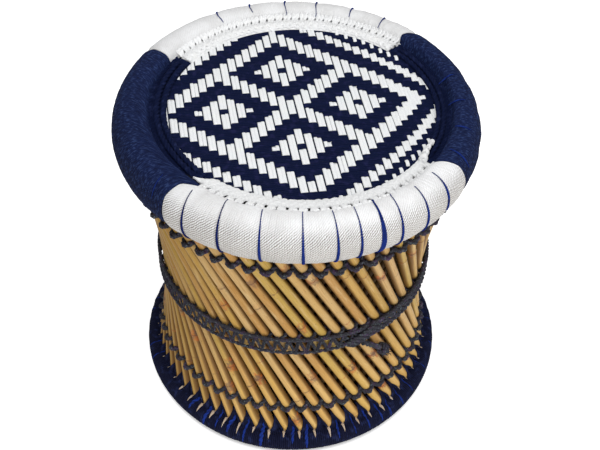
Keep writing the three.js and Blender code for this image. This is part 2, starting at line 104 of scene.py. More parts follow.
outer_waist = (REED_DIAMETER + REED_GAP) / cos(REED_LEAN) * REED_COUNT / (2 * pi)
inner_waist = outer_waist - (REED_DIAMETER + INNER_REED_DIAMETER) / 2 - LAYER_GAP
outer = Layer(outer_waist, -tan(REED_LEAN), REED_DIAMETER)
inner = Layer(inner_waist, tan(REED_LEAN) * inner_waist / outer_waist, INNER_REED_DIAMETER)
upper_slope = outer.slope * (UPPER_TWINE_HEIGHT - WAIST_HEIGHT)
first_waist_angle = FIRST_REED_ANGLE - np.arctan2(upper_slope, outer.waist)

rim_height = STOOL_HEIGHT - RIM_HALF_HEIGHT
core_height = rim_height + RIM_CORE_RISE
reed_top = core_height - RIM_CORE_HALF_HEIGHT - FIT_GAP
slot_outer = float(outer.reach(reed_top)) + outer.radius + SLOT_CLEARANCE
rim_bottom = STOOL_HEIGHT - 2 * RIM_HALF_HEIGHT
slot_inner = float(inner.reach(rim_bottom)) - inner.radius - SLOT_CLEARANCE
rim_outer = slot_outer + RIM_OUTER_WALL
rim_inner = slot_inner - RIM_INNER_WALL
rim_radius = (rim_outer + rim_inner) / 2
rim_half_width = (rim_outer - rim_inner) / 2

reed_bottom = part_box("outer_reed_panel_01")[0].z
base_slot_outer = float(outer.reach(reed_bottom)) + outer.radius + SLOT_CLEARANCE
lip_radius = base_slot_outer + SLOT_CLEARANCE
lip_top = 2 * BASE_LIP_HALF_HEIGHT
base_slot_inner = float(inner.reach(lip_top)) - inner.radius - SLOT_CLEARANCE


# Geometry helpers
UP = array([0.0, 0.0, 1.0])
SHARP_ANGLE = radians(75)
PLY_OFFSET_SHARE = 0.235
PLY_SHARE = 0.62
PLY_TONES = (-0.1, 0.1)


def unit(vector):
    return vector / np.maximum(np.linalg.norm(vector, axis=-1, keepdims=True), 1e-12)


def vectors(x, y, z):
    """Three numbers or arrays as one array of vectors."""
    return np.stack(np.broadcast_arrays(x, y, z), -1)


def polar(radius, angle, z):
    return vectors(radius * cos(angle), radius * sin(angle), z)


def radial(angle):
    return polar(1.0, angle, 0.0)


def circle(count):
    """Angles evenly round a circle."""
    return linspace(0, 2 * pi, count, endpoint=False)


def smooth(x):
    x = clip(x, 0, 1)
    return x * x * (3 - 2 * x)


def grown(x, low, high):
    """0 below low, 1 above high, smooth between."""
    return smooth((x - low) / (high - low))


def run_lengths(path, loop=False):
    """Distance of each point along a path, and the whole length."""
    along = np.concatenate([[0], np.cumsum(np.linalg.norm(np.diff(path, axis=0), axis=1))])
    return along, along[-1] + (np.linalg.norm(path[0] - path[-1]) if loop else 0)


def frame_along(path, outward, loop=False):
    """Outward and sideways directions, square to the path."""
    before, after = np.roll(path, 1, 0), np.roll(path, -1, 0)
    if not loop:
        before[0], after[-1] = path[0], path[-1]
    tangent = unit(after - before)
    up = unit(outward - (outward * tangent).sum(-1, keepdims=True) * tangent)
    return up, np.cross(tangent, up)


def add_object(name, data):
    thing = bpy.data.objects.new(name, data)
    bpy.context.scene.collection.objects.link(thing)
    return thing


class Body:
    """Closed skins gathered into one mesh. Each point keeps two attributes.

    place is where it lies: cosine and sine round its strand and metres along it, or on wound
    cord its turn and metres along the turn. mark is the strand's tone, and on a reed also the
    distance from its node and the node's blush; on wound cord, how much painted shade its
    grooves and lay show, and how much painted shade tints the rim's lower side."""

    def __init__(self):
        self.points, self.faces, self.places, self.marks = [], [], [], []
        self.total = 0

    def skin(self, grid, place, mark, loop=False):
        """Quads between the rows of a grid, with flat ends unless it is a loop, turned outwards."""
        rows, cols = grid.shape[:2]
        row, col = arange(rows if loop else rows - 1)[:, None] * cols, arange(cols)
        next_row, next_col = (row + cols) % (rows * cols), (col + 1) % cols
        corners = [row + col, row + next_col, next_row + next_col, next_row + col]
        faces = [np.stack(corners, -1).reshape(-1, 4)]
        if not loop:
            faces += [col[None, ::-1], col[None] + (rows - 1) * cols]
        points = grid.reshape(-1, 3)
        volume = 0
        for group in faces:
            shape = points[group]
            for k in range(1, group.shape[1] - 1):
                volume += (shape[:, 0] * np.cross(shape[:, k], shape[:, k + 1])).sum()
        self.faces += [(group[:, ::-1] if volume < 0 else group) + self.total for group in faces]
        self.points.append(points)
        self.places.append(np.broadcast_to(place, grid.shape).reshape(-1, 3))
        self.marks.append(np.broadcast_to(mark, grid.shape).reshape(-1, 3))
        self.total += len(points)

    def build(self, name, look, slot, *nodes):
        mesh = bpy.data.meshes.new(name)
        faces = [face for group in self.faces for face in group.tolist()]
        mesh.from_pydata(np.concatenate(self.points).tolist(), [], faces)
        for key, values in (("place", self.places), ("mark", self.marks)):
            layer = mesh.attributes.new(key, "FLOAT_VECTOR", "POINT")
            layer.data.foreach_set("vector", np.concatenate(values).astype(np.float32).ravel())
        mesh.shade_smooth()
        mesh.set_sharp_from_angle(angle=SHARP_ANGLE)
        mesh.materials.append(looks[look])
        piece = add_object(name, mesh)
        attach(piece, "root")
        if nodes:
            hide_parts(*nodes)


def tube(body, path, outward, width, height=None, sides=6, tone=0.0, loop=False, square=1.0):
    """A closed tube: width sideways, height outwards. Its section is an ellipse, or squarer."""
    up, across = frame_along(path, outward, loop)
    rows = len(path)
    half_width = np.broadcast_to(width, rows)[:, None, None] / 2
    half_height = np.broadcast_to(width if height is None else height, rows)[:, None, None] / 2
    turn = 2 * pi * (arange(sides) + (0 if square == 1 else 0.5)) / sides
    cosine = (np.sign(cos(turn)) * abs(cos(turn)) ** square)[:, None]
    sine = (np.sign(sin(turn)) * abs(sin(turn)) ** square)[:, None]
    grid = path[:, None] + up[:, None] * half_height * cosine + across[:, None] * half_width * sine
    place = vectors(cos(turn), sin(turn), run_lengths(path)[0][:, None])
    body.skin(grid, place, array([tone, 0.0, 0.0]), loop)


def twisted(body, path, outward, diameter, lay, plies=2, tone=0.0, loop=False, flat=1.0):
    """A cord of twisted plies. The lay is the length of one full twist."""
    up, across = frame_along(path, outward, loop)
    along, total = run_lengths(path, loop)
    twists = max(1, round(total / lay)) if loop else total / lay
    diameter = np.broadcast_to(diameter, len(path))
    offset = (diameter * PLY_OFFSET_SHARE)[:, None]
    for k in range(plies):
        turn = 2 * pi * (twists * along / total + k / plies)[:, None]
        ply = path + flat * up * cos(turn) * offset + across * sin(turn) * offset
        shade = tone + rng.uniform(*PLY_TONES)
        tube(body, ply, outward, diameter * PLY_SHARE, diameter * PLY_SHARE * flat, tone=shade, loop=loop)


# Material helpers
class Value:
    """A number or a colour in a material's node tree. Python's signs add its maths nodes."""

    def __init__(self, nodes, socket):
        self.nodes, self.socket = nodes, socket

    def __add__(self, other):
        return self.nodes.math("ADD", self, other)

    def __sub__(self, other):
        return self.nodes.math("SUBTRACT", self, other)

    def __rsub__(self, other):
        return self.nodes.math("SUBTRACT", other, self)

    def __mul__(self, other):
        return self.nodes.math("MULTIPLY", self, other)

    def __abs__(self):
        return self.nodes.math("ABSOLUTE", self)

    def clamped(self):
        self.socket.node.use_clamp = True
        return self

    def ramp(self, low, high, start=0.0, end=1.0):
        """Goes smoothly from start to end while the value goes from low to high."""
        node = self.nodes.add("MapRange", self, low, high, start, end)
        node.interpolation_type = "SMOOTHSTEP"
        return Value(self.nodes, node.outputs[0])

    def tinted(self, share, colour):
        return self.nodes.mix(share, self, colour)


class Nodes:
    """A material's node tree, with short calls for what the materials share."""

    def __init__(self, name, **shader_values):
        self.material = bpy.data.materials.new(name)
        self.material.use_nodes = True
        self.tree = self.material.node_tree
        self.shader = self.tree.nodes["Principled BSDF"].inputs
        for key, value in shader_values.items():
            self.shader[key.replace("_", " ")].default_value = value

    def put(self, socket, value):
        if isinstance(value, Value):
            self.tree.links.new(value.socket, socket)
        else:
            socket.default_value = (*value, 1) if isinstance(value, tuple) and len(value) == 3 else value

    def add(self, kind, *values, **named):
        """A new node, with values for its first inputs, or for inputs by name."""
        node = self.tree.nodes.new("ShaderNode" + kind)
        for socket, value in zip(node.inputs, values):
            self.put(socket, value)
        for name, value in named.items():
            self.put(node.inputs[name], value)
        return node

    def math(self, operation, *values):
        node = self.add("Math", *values)
        node.operation = operation
        return Value(self, node.outputs[0])

    def parts(self, vector):
        return [Value(self, part) for part in self.add("SeparateXYZ", vector).outputs]

    def attribute(self, name):
        node = self.add("Attribute")
        node.attribute_name = name
        return self.parts(Value(self, node.outputs["Vector"]))

    def vector(self, x, y, z):
        return Value(self, self.add("CombineXYZ", x, y, z).outputs[0])

    def spot(self):
        return Value(self, self.add("TexCoord").outputs["Object"])

    def noise(self, vector, scale, detail=2.0, roughness=0.5):
        node = self.add("TexNoise", Vector=vector, Scale=scale, Detail=detail, Roughness=roughness)
        return Value(self, node.outputs["Fac"])

    def mix(self, share, first, second):
        node = self.add("Mix", share)
        node.data_type = "RGBA"
        self.put(node.inputs[6], first)
        self.put(node.inputs[7], second)
        return Value(self, node.outputs[2])

    def wave(self, phase):
        """0 to 1 and back for each whole step of the phase."""
        return self.math("SINE", phase * (2 * pi)) * 0.5 + 0.5

    def finish(self, colour, height, depth, strength=1.0, roughness=None):
        self.put(self.shader["Base Color"], colour)
        if roughness is not None:
            self.put(self.shader["Roughness"], roughness)
        bump = self.add("Bump", Strength=strength, Distance=depth, Height=height)
        self.put(self.shader["Normal"], Value(self, bump.outputs[0]))
        return self.material


# Noise scales are per metre. A strand whose tone reaches the dark tone is mostly shade
FIBRE_SCALE = 900.0
GLINT_SCALE = 540.0
FLECK_SCALE = 150.0
PATCH_SCALE = 45.0
SWAY_SCALE = 160.0
SPECK_SCALE = 520.0
CRINKLE_SCALE = 190.0
FIBRES_ROUND = 5
DARK_TONE = 1.2
BUMP = 0.0003
TURN_WIDTH = 0.0023
LAY_PITCH = 0.0029
LAY_WIDTH_SHARE = 0.42


def cord_material(name, colour, shade, fleck, fibre_pitch, depth=BUMP, glints=None):
    """Twisted fibres: fine ridges that wind round a ply, fuzz, and flecks of other colours."""
    nodes = Nodes(name, Roughness=0.85, Specular_IOR_Level=0.08)
    place, spot = nodes.attribute("place"), nodes.spot()
    turns = nodes.math("ARCTAN2", place[1], place[0]) * (0.5 / pi)
    fibres = nodes.wave(place[2] * (1 / fibre_pitch) + turns * FIBRES_ROUND)
    fuzz = nodes.noise(spot, FIBRE_SCALE, 3.0, 0.6)
    # Painted shade: the grooves between the fibres are mixed toward the shade colour
    base = nodes.mix((fibres * 0.45 + fuzz * 0.75).clamped(), shade, colour)
    base = base.tinted(nodes.noise(spot, FLECK_SCALE).ramp(0.5, 0.75, 0.0, 0.7), fleck)
    if glints:
        base = base.tinted(nodes.noise(spot, GLINT_SCALE, 1.0).ramp(0.6, 0.72, 0.0, 0.6), glints)
    tone = nodes.attribute("mark")[0]
    base = base.tinted(tone.ramp(-0.15, 0.3, 0.0, 0.25), shade)
    base = base.tinted(tone.ramp(0.6, DARK_TONE - 0.1, 0.0, 0.65), shade)
    return nodes.finish(base, fibres * 0.7 + fuzz * 0.5, depth)


def wound_material(name, colour, shade, turn_share, lay_share, depth, fleck, fleck_share):
    """Cord wound in turns side by side: place holds the turn number and metres along the turn.
    The lay of the cords runs on from turn to turn in slanting lines. Grooves and lay are darkened as painted
    shade, and mark fades that out."""
    nodes = Nodes(name, Roughness=0.8, Specular_IOR_Level=0.12)
    (turn, along, _), mark, spot = nodes.attribute("place"), nodes.attribute("mark"), nodes.spot()
    middle = 1.0 - abs(nodes.math("FRACT", turn) * 2.0 - 1.0)
    lean = along * (1 / LAY_PITCH) + turn * (-TURN_WIDTH / LAY_PITCH)
    crest = nodes.wave(nodes.noise(spot, SWAY_SCALE, 1.0) * 1.2 + lean)
    # Painted shade: the grooves between turns and the slanting lay lines are darkened toward the shade colour
    groove = middle.ramp(0.0, 0.5, turn_share, 0.0) * mark[0]
    lay = crest.ramp(0.0, LAY_WIDTH_SHARE, lay_share, 0.0) * mark[0]
    dark = (groove + lay).clamped()
    fuzz = nodes.noise(spot, FIBRE_SCALE, 3.0, 0.6)
    base = nodes.mix((fuzz * 0.2 + dark).clamped(), colour, shade)
    base = base.tinted(nodes.noise(spot, PATCH_SCALE).ramp(0.35, 0.7, 0.0, 0.15), shade)
    crinkle = nodes.noise(nodes.vector(turn * 1.3, along * CRINKLE_SCALE, 0.0), 1.0, 3.0, 0.6)
    base = base.tinted(crinkle.ramp(0.48, 0.68, 0.0, fleck_share), fleck)
    base = base.tinted(crinkle.ramp(0.34, 0.5, fleck_share * 0.8, 0.0), shade)
    # Painted shade: mark[1] lays the fleck colour over the lower side of the white rim
    return nodes.finish(base.tinted(mark[1], fleck), fuzz * 0.25 - dark, depth)


# Where the cane is painted lighter near the feet as painted light, and browner at the left as painted shade,
# and how far a node's marks reach
PAINTED_LIGHT_HEIGHTS = (0.05, 0.165)
PAINTED_SHADE_PLACES = (-0.15, -0.05)
STAIN_REACH = (0.002, 0.010)
STAIN_RAGGED = 0.045
RING_REACH = (0.0006, 0.0020)
RING_RAGGED = 0.0012
REED_COLOURS = (
    (0.55, 0.33, 0.078),
    (0.60, 0.385, 0.155),
    (0.50, 0.265, 0.075),
    (0.52, 0.34, 0.078),
    (0.68, 0.49, 0.24),
)
STREAK_COLOUR = (0.38, 0.18, 0.045)
GAP_SHADE = (0.13, 0.055, 0.015)
PAINTED_SHADE_CANE = (0.34, 0.19, 0.038)
PAINTED_LIGHT_CANE = (0.80, 0.50, 0.155)
INNER_SHADE = (0.035, 0.016, 0.006)
NODE_DARK = (0.13, 0.055, 0.035)
NODE_STAIN = (0.17, 0.085, 0.06)
STAIN_COLOUR = (0.50, 0.13, 0.025)


def reed_material(name, painted_shade):
    """Cane: streaks along the reed, tones that differ by reed, rings and stains at its nodes."""
    nodes = Nodes(name, Roughness=0.5, Specular_IOR_Level=0.14)
    (x, y, along), (tone, off_node, blush) = nodes.attribute("place"), nodes.attribute("mark")
    spot, seed, near = nodes.spot(), tone * 37.0, abs(off_node)
    streaks = nodes.noise(nodes.vector(x, y, along * 6.0 + seed), 5.0, 4.0, 0.6)
    patches = nodes.noise(nodes.vector(x, y + seed, along * 22.0), 1.3, 3.0, 0.55)
    fine = nodes.noise(nodes.vector(x, y, along * 3.0), 22.0, 2.0, 0.6)
    ragged = nodes.noise(nodes.vector(x, y, along * 90.0), 1.6, 3.0, 0.65)
    specks = nodes.noise(spot, SPECK_SCALE)
    golden, buff, pink, olive, dry = REED_COLOURS
    base = nodes.mix(tone.ramp(0.05, 0.35), golden, buff)
    base = base.tinted(tone.ramp(0.45, 0.62), pink)
    base = base.tinted(tone.ramp(0.72, 0.9), olive)
    base = base.tinted(patches.ramp(0.52, 0.75, 0.0, 0.75), dry)
    base = base.tinted(streaks.ramp(0.5, 0.74, 0.0, 0.7), STREAK_COLOUR)
    base = base.tinted(fine.ramp(0.5, 0.7, 0.0, 0.4), dry)
    base = base.tinted(specks.ramp(0.64, 0.74, 0.0, 0.5), NODE_DARK)
    sideways, _, height = nodes.parts(spot)
    # Painted light: the cane is lighter toward the feet. Painted shade: it is browner on the stool's left
    # side
    base = base.tinted(height.ramp(*PAINTED_LIGHT_HEIGHTS, 0.55, 0.0), PAINTED_LIGHT_CANE)
    base = base.tinted(sideways.ramp(*PAINTED_SHADE_PLACES, 0.7, 0.0), PAINTED_SHADE_CANE)
    # Painted shade: each reed is darker on its sides, toward the gaps between reeds
    base = base.tinted(abs(y).ramp(0.56, 0.98, 0.0, 0.85), GAP_SHADE)
    blotch = nodes.mix(nodes.noise(spot, FLECK_SCALE).ramp(0.4, 0.6), STAIN_COLOUR, NODE_STAIN)
    torn = (ragged - 0.5) * STAIN_RAGGED + near
    base = base.tinted(torn.ramp(*STAIN_REACH, 0.85, 0.0) * blush, blotch)
    ring = (specks * RING_RAGGED + near).ramp(*RING_REACH, 0.8, 0.0)
    base = base.tinted(ring * streaks.ramp(0.3, 0.6, 0.3, 1.0), NODE_DARK)
    # Painted shade: the inner reeds are mixed almost wholly toward a near-black brown
    base = base.tinted(painted_shade, INNER_SHADE)
    return nodes.finish(base, streaks, BUMP, 0.5, streaks.ramp(0.3, 0.8, 0.36, 0.55))


NAVY = (0.0055, 0.0125, 0.058)
NAVY_SHADE = (0.003, 0.004, 0.016)
GREY = (0.078, 0.076, 0.095)
BLUE = (0.014, 0.048, 0.32)
BLUE_SHADE = (0.007, 0.010, 0.07)
# Wound cord: colour, shade, how dark the grooves and the lay are painted as shade, bump, fleck and its share
WOUND_LOOKS = {
    "white_wound": ((0.92, 0.93, 0.945), (0.24, 0.21, 0.185), 0.22, 1.0, 0.0005, (0.66, 0.61, 0.54), 0.1),
    "navy_wound": ((0.0065, 0.0145, 0.066), NAVY_SHADE, 0.6, 0.6, 0.0006, (0.034, 0.060, 0.17), 0.7),
    "base_wound": ((0.018, 0.0165, 0.034), NAVY_SHADE, 0.75, 0.4, 0.0004, (0.022, 0.026, 0.075), 0.6),
}
# Twisted cord: colour, shade, fleck, pitch of the fibres; then bump and glints where they differ
CORD_LOOKS = {
    "white_cord": ((0.95, 0.96, 0.97), (0.82, 0.82, 0.82), (0.90, 0.90, 0.89), 0.0014, 0.0002),
    "navy_cord": (NAVY, NAVY_SHADE, (0.02, 0.03, 0.10), 0.0011),
    "blue_cord": (BLUE, BLUE_SHADE, BLUE_SHADE, 0.0011),
    "streak_cord": ((0.020, 0.065, 0.44), BLUE_SHADE, (0.01, 0.02, 0.16), 0.0016),
    "seat_white": ((0.97, 0.98, 0.985), (0.82, 0.84, 0.86), (0.96, 0.96, 0.94), 0.004),
    "seat_navy": (NAVY, NAVY_SHADE, (0.02, 0.022, 0.09), 0.003),
    "fan_cord": ((0.014, 0.017, 0.050), NAVY_SHADE, (0.028, 0.040, 0.13), 0.0016),
    "grey_cord": (GREY, (0.014, 0.014, 0.018), (0.11, 0.060, 0.145), 0.0012, BUMP, (0.21, 0.29, 0.30)),
    "dark_cord": ((0.012, 0.011, 0.012), (0.004, 0.004, 0.004), (0.01, 0.01, 0.01), 0.0012),
    "reed_tip": ((0.82, 0.71, 0.60), (0.50, 0.35, 0.22), (0.70, 0.50, 0.32), 0.004),
}
looks = {name: wound_material(name, *look) for name, look in WOUND_LOOKS.items()}
looks |= {name: cord_material(name, *look) for name, look in CORD_LOOKS.items()}
# The inner reeds use a copy of the cane that is painted dark as shade
looks |= {name: reed_material(name, painted_shade) for name, painted_shade in (("reed_outer", 0.0), ("reed_inner", 0.92))}


# Rim wrap: turns side by side over the section ellipse, closed by the slot underneath.
# Angles on the section start at the outer side and grow over the crown to the seat
SAMPLES_PER_TURN = 4
RIM_POINTS = 46
SLOT_POINTS = 8
RIM_TURNS = round(2 * pi * rim_outer / TURN_WIDTH)
TURN_DEPTH = 0.00045
TURN_SCATTER = 0.00012
END_DIP = 0.0012
END_TURNS = 3
SLOT_FADE = 0.25
GROOVE_DEPTH = 0.005
GROOVE_FADE = 0.5
GROOVE_ANGLES = (radians(106), radians(135))
FRONT_GROOVE_ANGLES = (radians(98), radians(113))
# Painted shade in grooves and lay is full low on the section and fades over the crown to LAY_REST
LAY_FADE = (radians(15), radians(66))
LAY_REST = 0.1
PINCH_DEPTH = 0.0009
PINCH_WIDTH = radians(2.6)
# Painted shade: a warm tint over the lower side of the white wrap, fading towards the crown
LOW_SHADE_SHARE = 0.3
LOW_SHADE_FADE = (radians(-10), radians(45))
FRONT_SINE, FRONT_SINE_FADE = 0.6, 0.35
JOIN_FADE = 60
# Each accent: angle round the rim, then where on the section it starts and ends
ACCENTS = {
    "front": (
        (-123, -60, 84), (-111.3, -60, 98), (-99.2, -60, 92), (-86.6, -60, 94), (-77.2, -60, 92),
        (-70.2, -60, 93), (-63.5, -60, 101), (-57, -60, 98), (-48, -40, 85), (-39, -16, 87),
    ),
    "right": ((-25.5, 26, 92), (-12.9, 62, 106), (1.4, 78, 130), (15.6, 84, 136)),
    "back": (
        (57.3, -50, 120), (70.6, -50, 114), (84.4, -50, 128), (96.8, -50, 124),
        (110.4, -50, 108), (123.9, -50, 114),
    ),
    "left": ((225, 18, 76),),
}
# Where one colour of the wrap ends, the join slants with the section angle: degrees, then shifts
JOIN_SHIFTS = {
    -131: ((40, 86, 100, 118), (0.4, 2.6, 6.0, 14.0)),
    -30: ((0, 50, 82, 112), (2.4, 1.0, -1.5, -4.2)),
    44.5: ((70, 104), (0.0, 2.4)),
    154: ((70, 104), (0.0, 0.8)),
}
JOIN_SHIFTS[229] = JOIN_SHIFTS[-131]


def rim_point(section):
    """Radius and height on the rim ellipse."""
    return rim_radius + rim_half_width * cos(section), rim_height + RIM_HALF_HEIGHT * sin(section)


def rim_normal(section):
    across, rise = cos(section) / rim_half_width, sin(section) / RIM_HALF_HEIGHT
    size = np.hypot(across, rise)
    return across / size, rise / size


def on_rim(section, angle, lift):
    """Points on the rim, lifted along its normal. The inner flank leans along X with the seat."""
    r, z = rim_point(section)
    across, rise = rim_normal(section)
    high = clip((z - rim_height) / (0.4 * RIM_HALF_HEIGHT), 0, 1)
    inward = clip((rim_radius - r) / (0.5 * rim_half_width), 0, 1)
    point = polar(r + lift * across, angle, z + lift * rise)
    point[..., 0] += SEAT_OFFSET * high * inward
    return point


def slot_angle(radius):
    return np.arccos((radius - rim_radius) / rim_half_width)


def turn_relief(turns):
    """How far a wound surface falls from the crown of each turn."""
    return -TURN_DEPTH * (1 - 2 * abs(turns % 1 - 0.5)) ** 2


def front_lean(angle):
    """1 along the front, where the braid climbs the inner flank of the rim; 0 elsewhere."""
    return smooth((-sin(angle) - FRONT_SINE) / FRONT_SINE_FADE)


def join_angle(degrees, section):
    """Angle of a join of the wrap at each section angle."""
    turned = np.degrees(section)
    turned = where(turned > 180, 0.0, turned)
    shift = interp(turned, *JOIN_SHIFTS[degrees]) * smooth((turned + JOIN_FADE) / JOIN_FADE)
    return radians(degrees + shift)


def rim_wrap(side):
    start, end = (radians(x) for x in RIM_SECTIONS[side])
    gap = FIT_GAP / rim_inner
    turns = round(RIM_TURNS * (end - start) / (2 * pi))
    turn = linspace(0, turns, turns * SAMPLES_PER_TURN + 1)
    angle = start + gap + (end - start - 2 * gap) * turn / turns
    begin, finish = -slot_angle(slot_outer), 2 * pi - slot_angle(slot_inner)
    section = linspace(begin, finish, RIM_POINTS)
    uneven = rng.normal(0, TURN_SCATTER, turns + 2)[(turn + 0.5).astype(int)]
    pinch = sum(exp(-(((angle - radians(place)) / PINCH_WIDTH) ** 2)) for place, _, _ in ACCENTS[side])
    lift = turn_relief(turn + 0.5) + uneven - PINCH_DEPTH * pinch
    lift -= END_DIP * (1 - smooth(np.minimum(turn, turns - turn) / END_TURNS))
    fade = smooth(np.minimum(section - begin, finish - section) / SLOT_FADE)
    angle = angle[:, None]
    lean = front_lean(angle)
    groove_start, groove_full = (a + (b - a) * lean for a, b in zip(GROOVE_ANGLES, FRONT_GROOVE_ANGLES))
    groove = GROOVE_DEPTH * grown(section, groove_start, groove_full)
    groove = groove * smooth((finish - section) / GROOVE_FADE)
    first, last = (join_angle(x, section) for x in RIM_SECTIONS[side])
    share = (angle - start) / (end - start)
    slanted = angle + (first - start) * (1 - share) + (last - end) * share
    grid = on_rim(section, slanted, lift[:, None] * fade - groove)
    arch = linspace(pi, 0, SLOT_POINTS)
    arch_r = (slot_outer + slot_inner) / 2 + (slot_outer - slot_inner) / 2 * cos(arch)
    arch_z = core_height + (RIM_CORE_HALF_HEIGHT + FIT_GAP) * sin(arch)
    grid = np.concatenate([grid, polar(arch_r, angle, arch_z)], 1)
    slot = (0, SLOT_POINTS)
    along = np.pad(run_lengths(np.column_stack(rim_point(section)))[0], slot)
    # Painted shade: grooves and lay are darkest low on the section
    faded = 1 - (1 - LAY_REST) * grown(section, *LAY_FADE)
    # Painted shade low on the white wrap; the navy wrap gets none
    low_shade = LOW_SHADE_SHARE * (1 - grown(section, *LOW_SHADE_FADE))
    colour = RIM_COLOURS[side]
    if colour == "navy":
        low_shade = 0 * section
    body = Body()
    mark = vectors(np.pad(faded, slot), np.pad(low_shade, slot), 0.0)
    body.skin(grid, vectors(turn[:, None], along, 0.0), mark)
    body.build(f"wrap_{side}", f"{colour}_wound", f"{colour}_cord", f"rim_wrap_{side}")


# Accent cords: single turns laid over the wrap. Each reaches over its own stretch of the section
ACCENT_WIDTH = 0.0033
ACCENT_LAY = 0.005
ACCENT_SINK = 0.0002
ACCENT_LEAN = radians(0.6)
BACK_ACCENT_LEAN = radians(0.7)
ACCENT_BOW = radians(0.3)
BACK_TAPER_FROM, BACK_TAPER_OVER = radians(50), radians(65)
BACK_CROWN = radians(46)
BACK_TURN = radians(74)
WIDE_ACCENT = -63.5
WIDE_ACCENT_ROWS = (-0.0016, 0, 0.0016)
DARK_ACCENTS_BEFORE = -105


def back_course(degrees, section):
    """Keeps a turn at the back straight in the view from the front, up to its outer edge."""
    inward = (1 - cos(np.maximum(section - BACK_CROWN, 0))) / (1 - cos(BACK_TURN))
    straight = clip(cos(section) + 0.5 - 0.816 * (1 - inward), 0, 0.38)
    bend = rim_half_width / rim_radius / tan(radians(degrees))
    return bend * straight + BACK_ACCENT_LEAN * (inward - 0.5)


def accent_turn(body, side, degrees, low, high):
    share = linspace(0, 1, 60)
    section = radians(low) + (radians(high) - radians(low)) * share
    angle = radians(degrees) + rng.uniform(-ACCENT_BOW, ACCENT_BOW) * sin(pi * share)
    if side == "back":
        angle = angle + back_course(degrees, section)
        taper = 0.8 - 0.5 * smooth((section - BACK_TAPER_FROM) / BACK_TAPER_OVER)
    else:
        angle = angle + ACCENT_LEAN * (0.5 - share)
        taper = 1 - 0.68 * smooth((share - 0.3) / 0.6)
    if side in ("right", "left"):
        taper = (0.3 + 0.38 * sin(pi * share)) * (1.0 if side == "right" else 0.6)
    path = on_rim(section, angle, -ACCENT_SINK)
    across, rise = rim_normal(section)
    outward = unit(polar(across, angle, rise))
    rows, wide = (WIDE_ACCENT_ROWS, 0.9) if degrees == WIDE_ACCENT else ((0,), 1)
    tone = DARK_TONE if side == "front" and degrees < DARK_ACCENTS_BEFORE else 0.0
    for row in rows:
        moved = path + radial(angle + pi / 2) * row * taper[:, None]
        twisted(body, moved, outward, ACCENT_WIDTH * taper * wide, ACCENT_LAY, tone=tone, flat=0.5)


def accent_cords(side):
    body = Body()
    for accent in ACCENTS[side]:
        accent_turn(body, side, *accent)
    body.build(f"accents_{side}", "blue_cord", "blue_cord", f"rim_accent_cord_{side}")


# Braid along the seat edge, with stitches that tie it to the wrap. Its ring is not quite round
BRAID_HEIGHT = 0.3771
BRAID_INNER = 0.1372
BRAID_INNER_SHIFT = (0.0015, -0.0021)
BRAID_OUTER = 0.1500
BRAID_OUTER_SHIFT = -0.0010
BRAID_FRONT_WIDER = 0.0055
BRAID_CLIMB_FROM = 0.1455
BRAID_CLIMB = 0.55
BRAID_SPANS = {"front": (-129.3, -33), "right": (-32.5, 46.5), "back": (47, 150.5), "left": (151, 231.5)}
BRAID_STRAND = 0.0052
BRAID_STRAND_LAY = 0.017
BRAID_LIFT = 0.0009
BRAID_SINK = 0.0008
BRAID_LAY = 0.024
BRAID_STEP = 0.0013
BRAID_RADIUS = 0.144
BRAID_POINT = radians(6)
BRAID_POINT_RADIUS = 0.1540
BRAID_LEAF_RISE = 0.0044
BED_SINK = 0.0018
BED_THICKNESS = 0.003
ROPE_END = radians(7)
ROPE_DIP = 0.0032
ROPE_LAY = 0.020
ROPE_RISE = 0.0006
# Shift outwards and rise; then how much wider than the braid and how thick, or thickness and lay
NAVY_BED = (0.0022, -0.0026, 0.003, 0.0026)
CREASE_CORD = (0.0036, -0.0034, 0.0058, 0.016)
STITCH_PITCH = 0.0092
STITCH_RADIUS = 0.1515
STITCH_CORD = 0.0048
BACK_STITCH_CORD = 0.0053
STITCH_LAY = 0.012
STITCH_SCATTER = 0.00012
# Heights of a stitch at distances outwards from the braid's edge, round the ring and at the front
STITCH_PLACES = (-0.0024, 0.0010, 0.0036, 0.0072)
STITCH_LEVELS = (0.3774, 0.3760, 0.3772, 0.3814)
FRONT_STITCH_LEVELS = (0.3812, 0.3826, 0.3842, 0.3862)
HOLE_PLACE = 0.0020
HOLE_LENGTH = 0.0032
FRONT_HOLES = (0.0014, 0.0048)
BACK_HOLES = (0.0002, 0.0016)
CORE_PLACE = 0.0020
CORE_FRONT_SHIFT = 0.0006
CORE_LEVEL = 0.3722
CORE_FRONT_RISE = 0.0086
CORE_WIDTH, CORE_THICKNESS = 0.0080, 0.003


def braid_edges(angle):
    cosine, sine = BRAID_INNER_SHIFT
    outer_edge = BRAID_OUTER + BRAID_OUTER_SHIFT * sin(angle) + BRAID_FRONT_WIDER * front_lean(angle)
    return BRAID_INNER + cosine * cos(angle) + sine * sin(angle), outer_edge


def braid_level(radius, angle):
    """Height of the braid's bed: level on the seat, rising over the flank at the front."""
    climb = BRAID_CLIMB * front_lean(angle) * clip(radius - BRAID_CLIMB_FROM, 0, None)
    return BRAID_HEIGHT - BRAID_SINK + climb


def on_seat(radius, angle, z):
    point = polar(radius, angle, z)
    point[..., 0] += SEAT_OFFSET
    return point


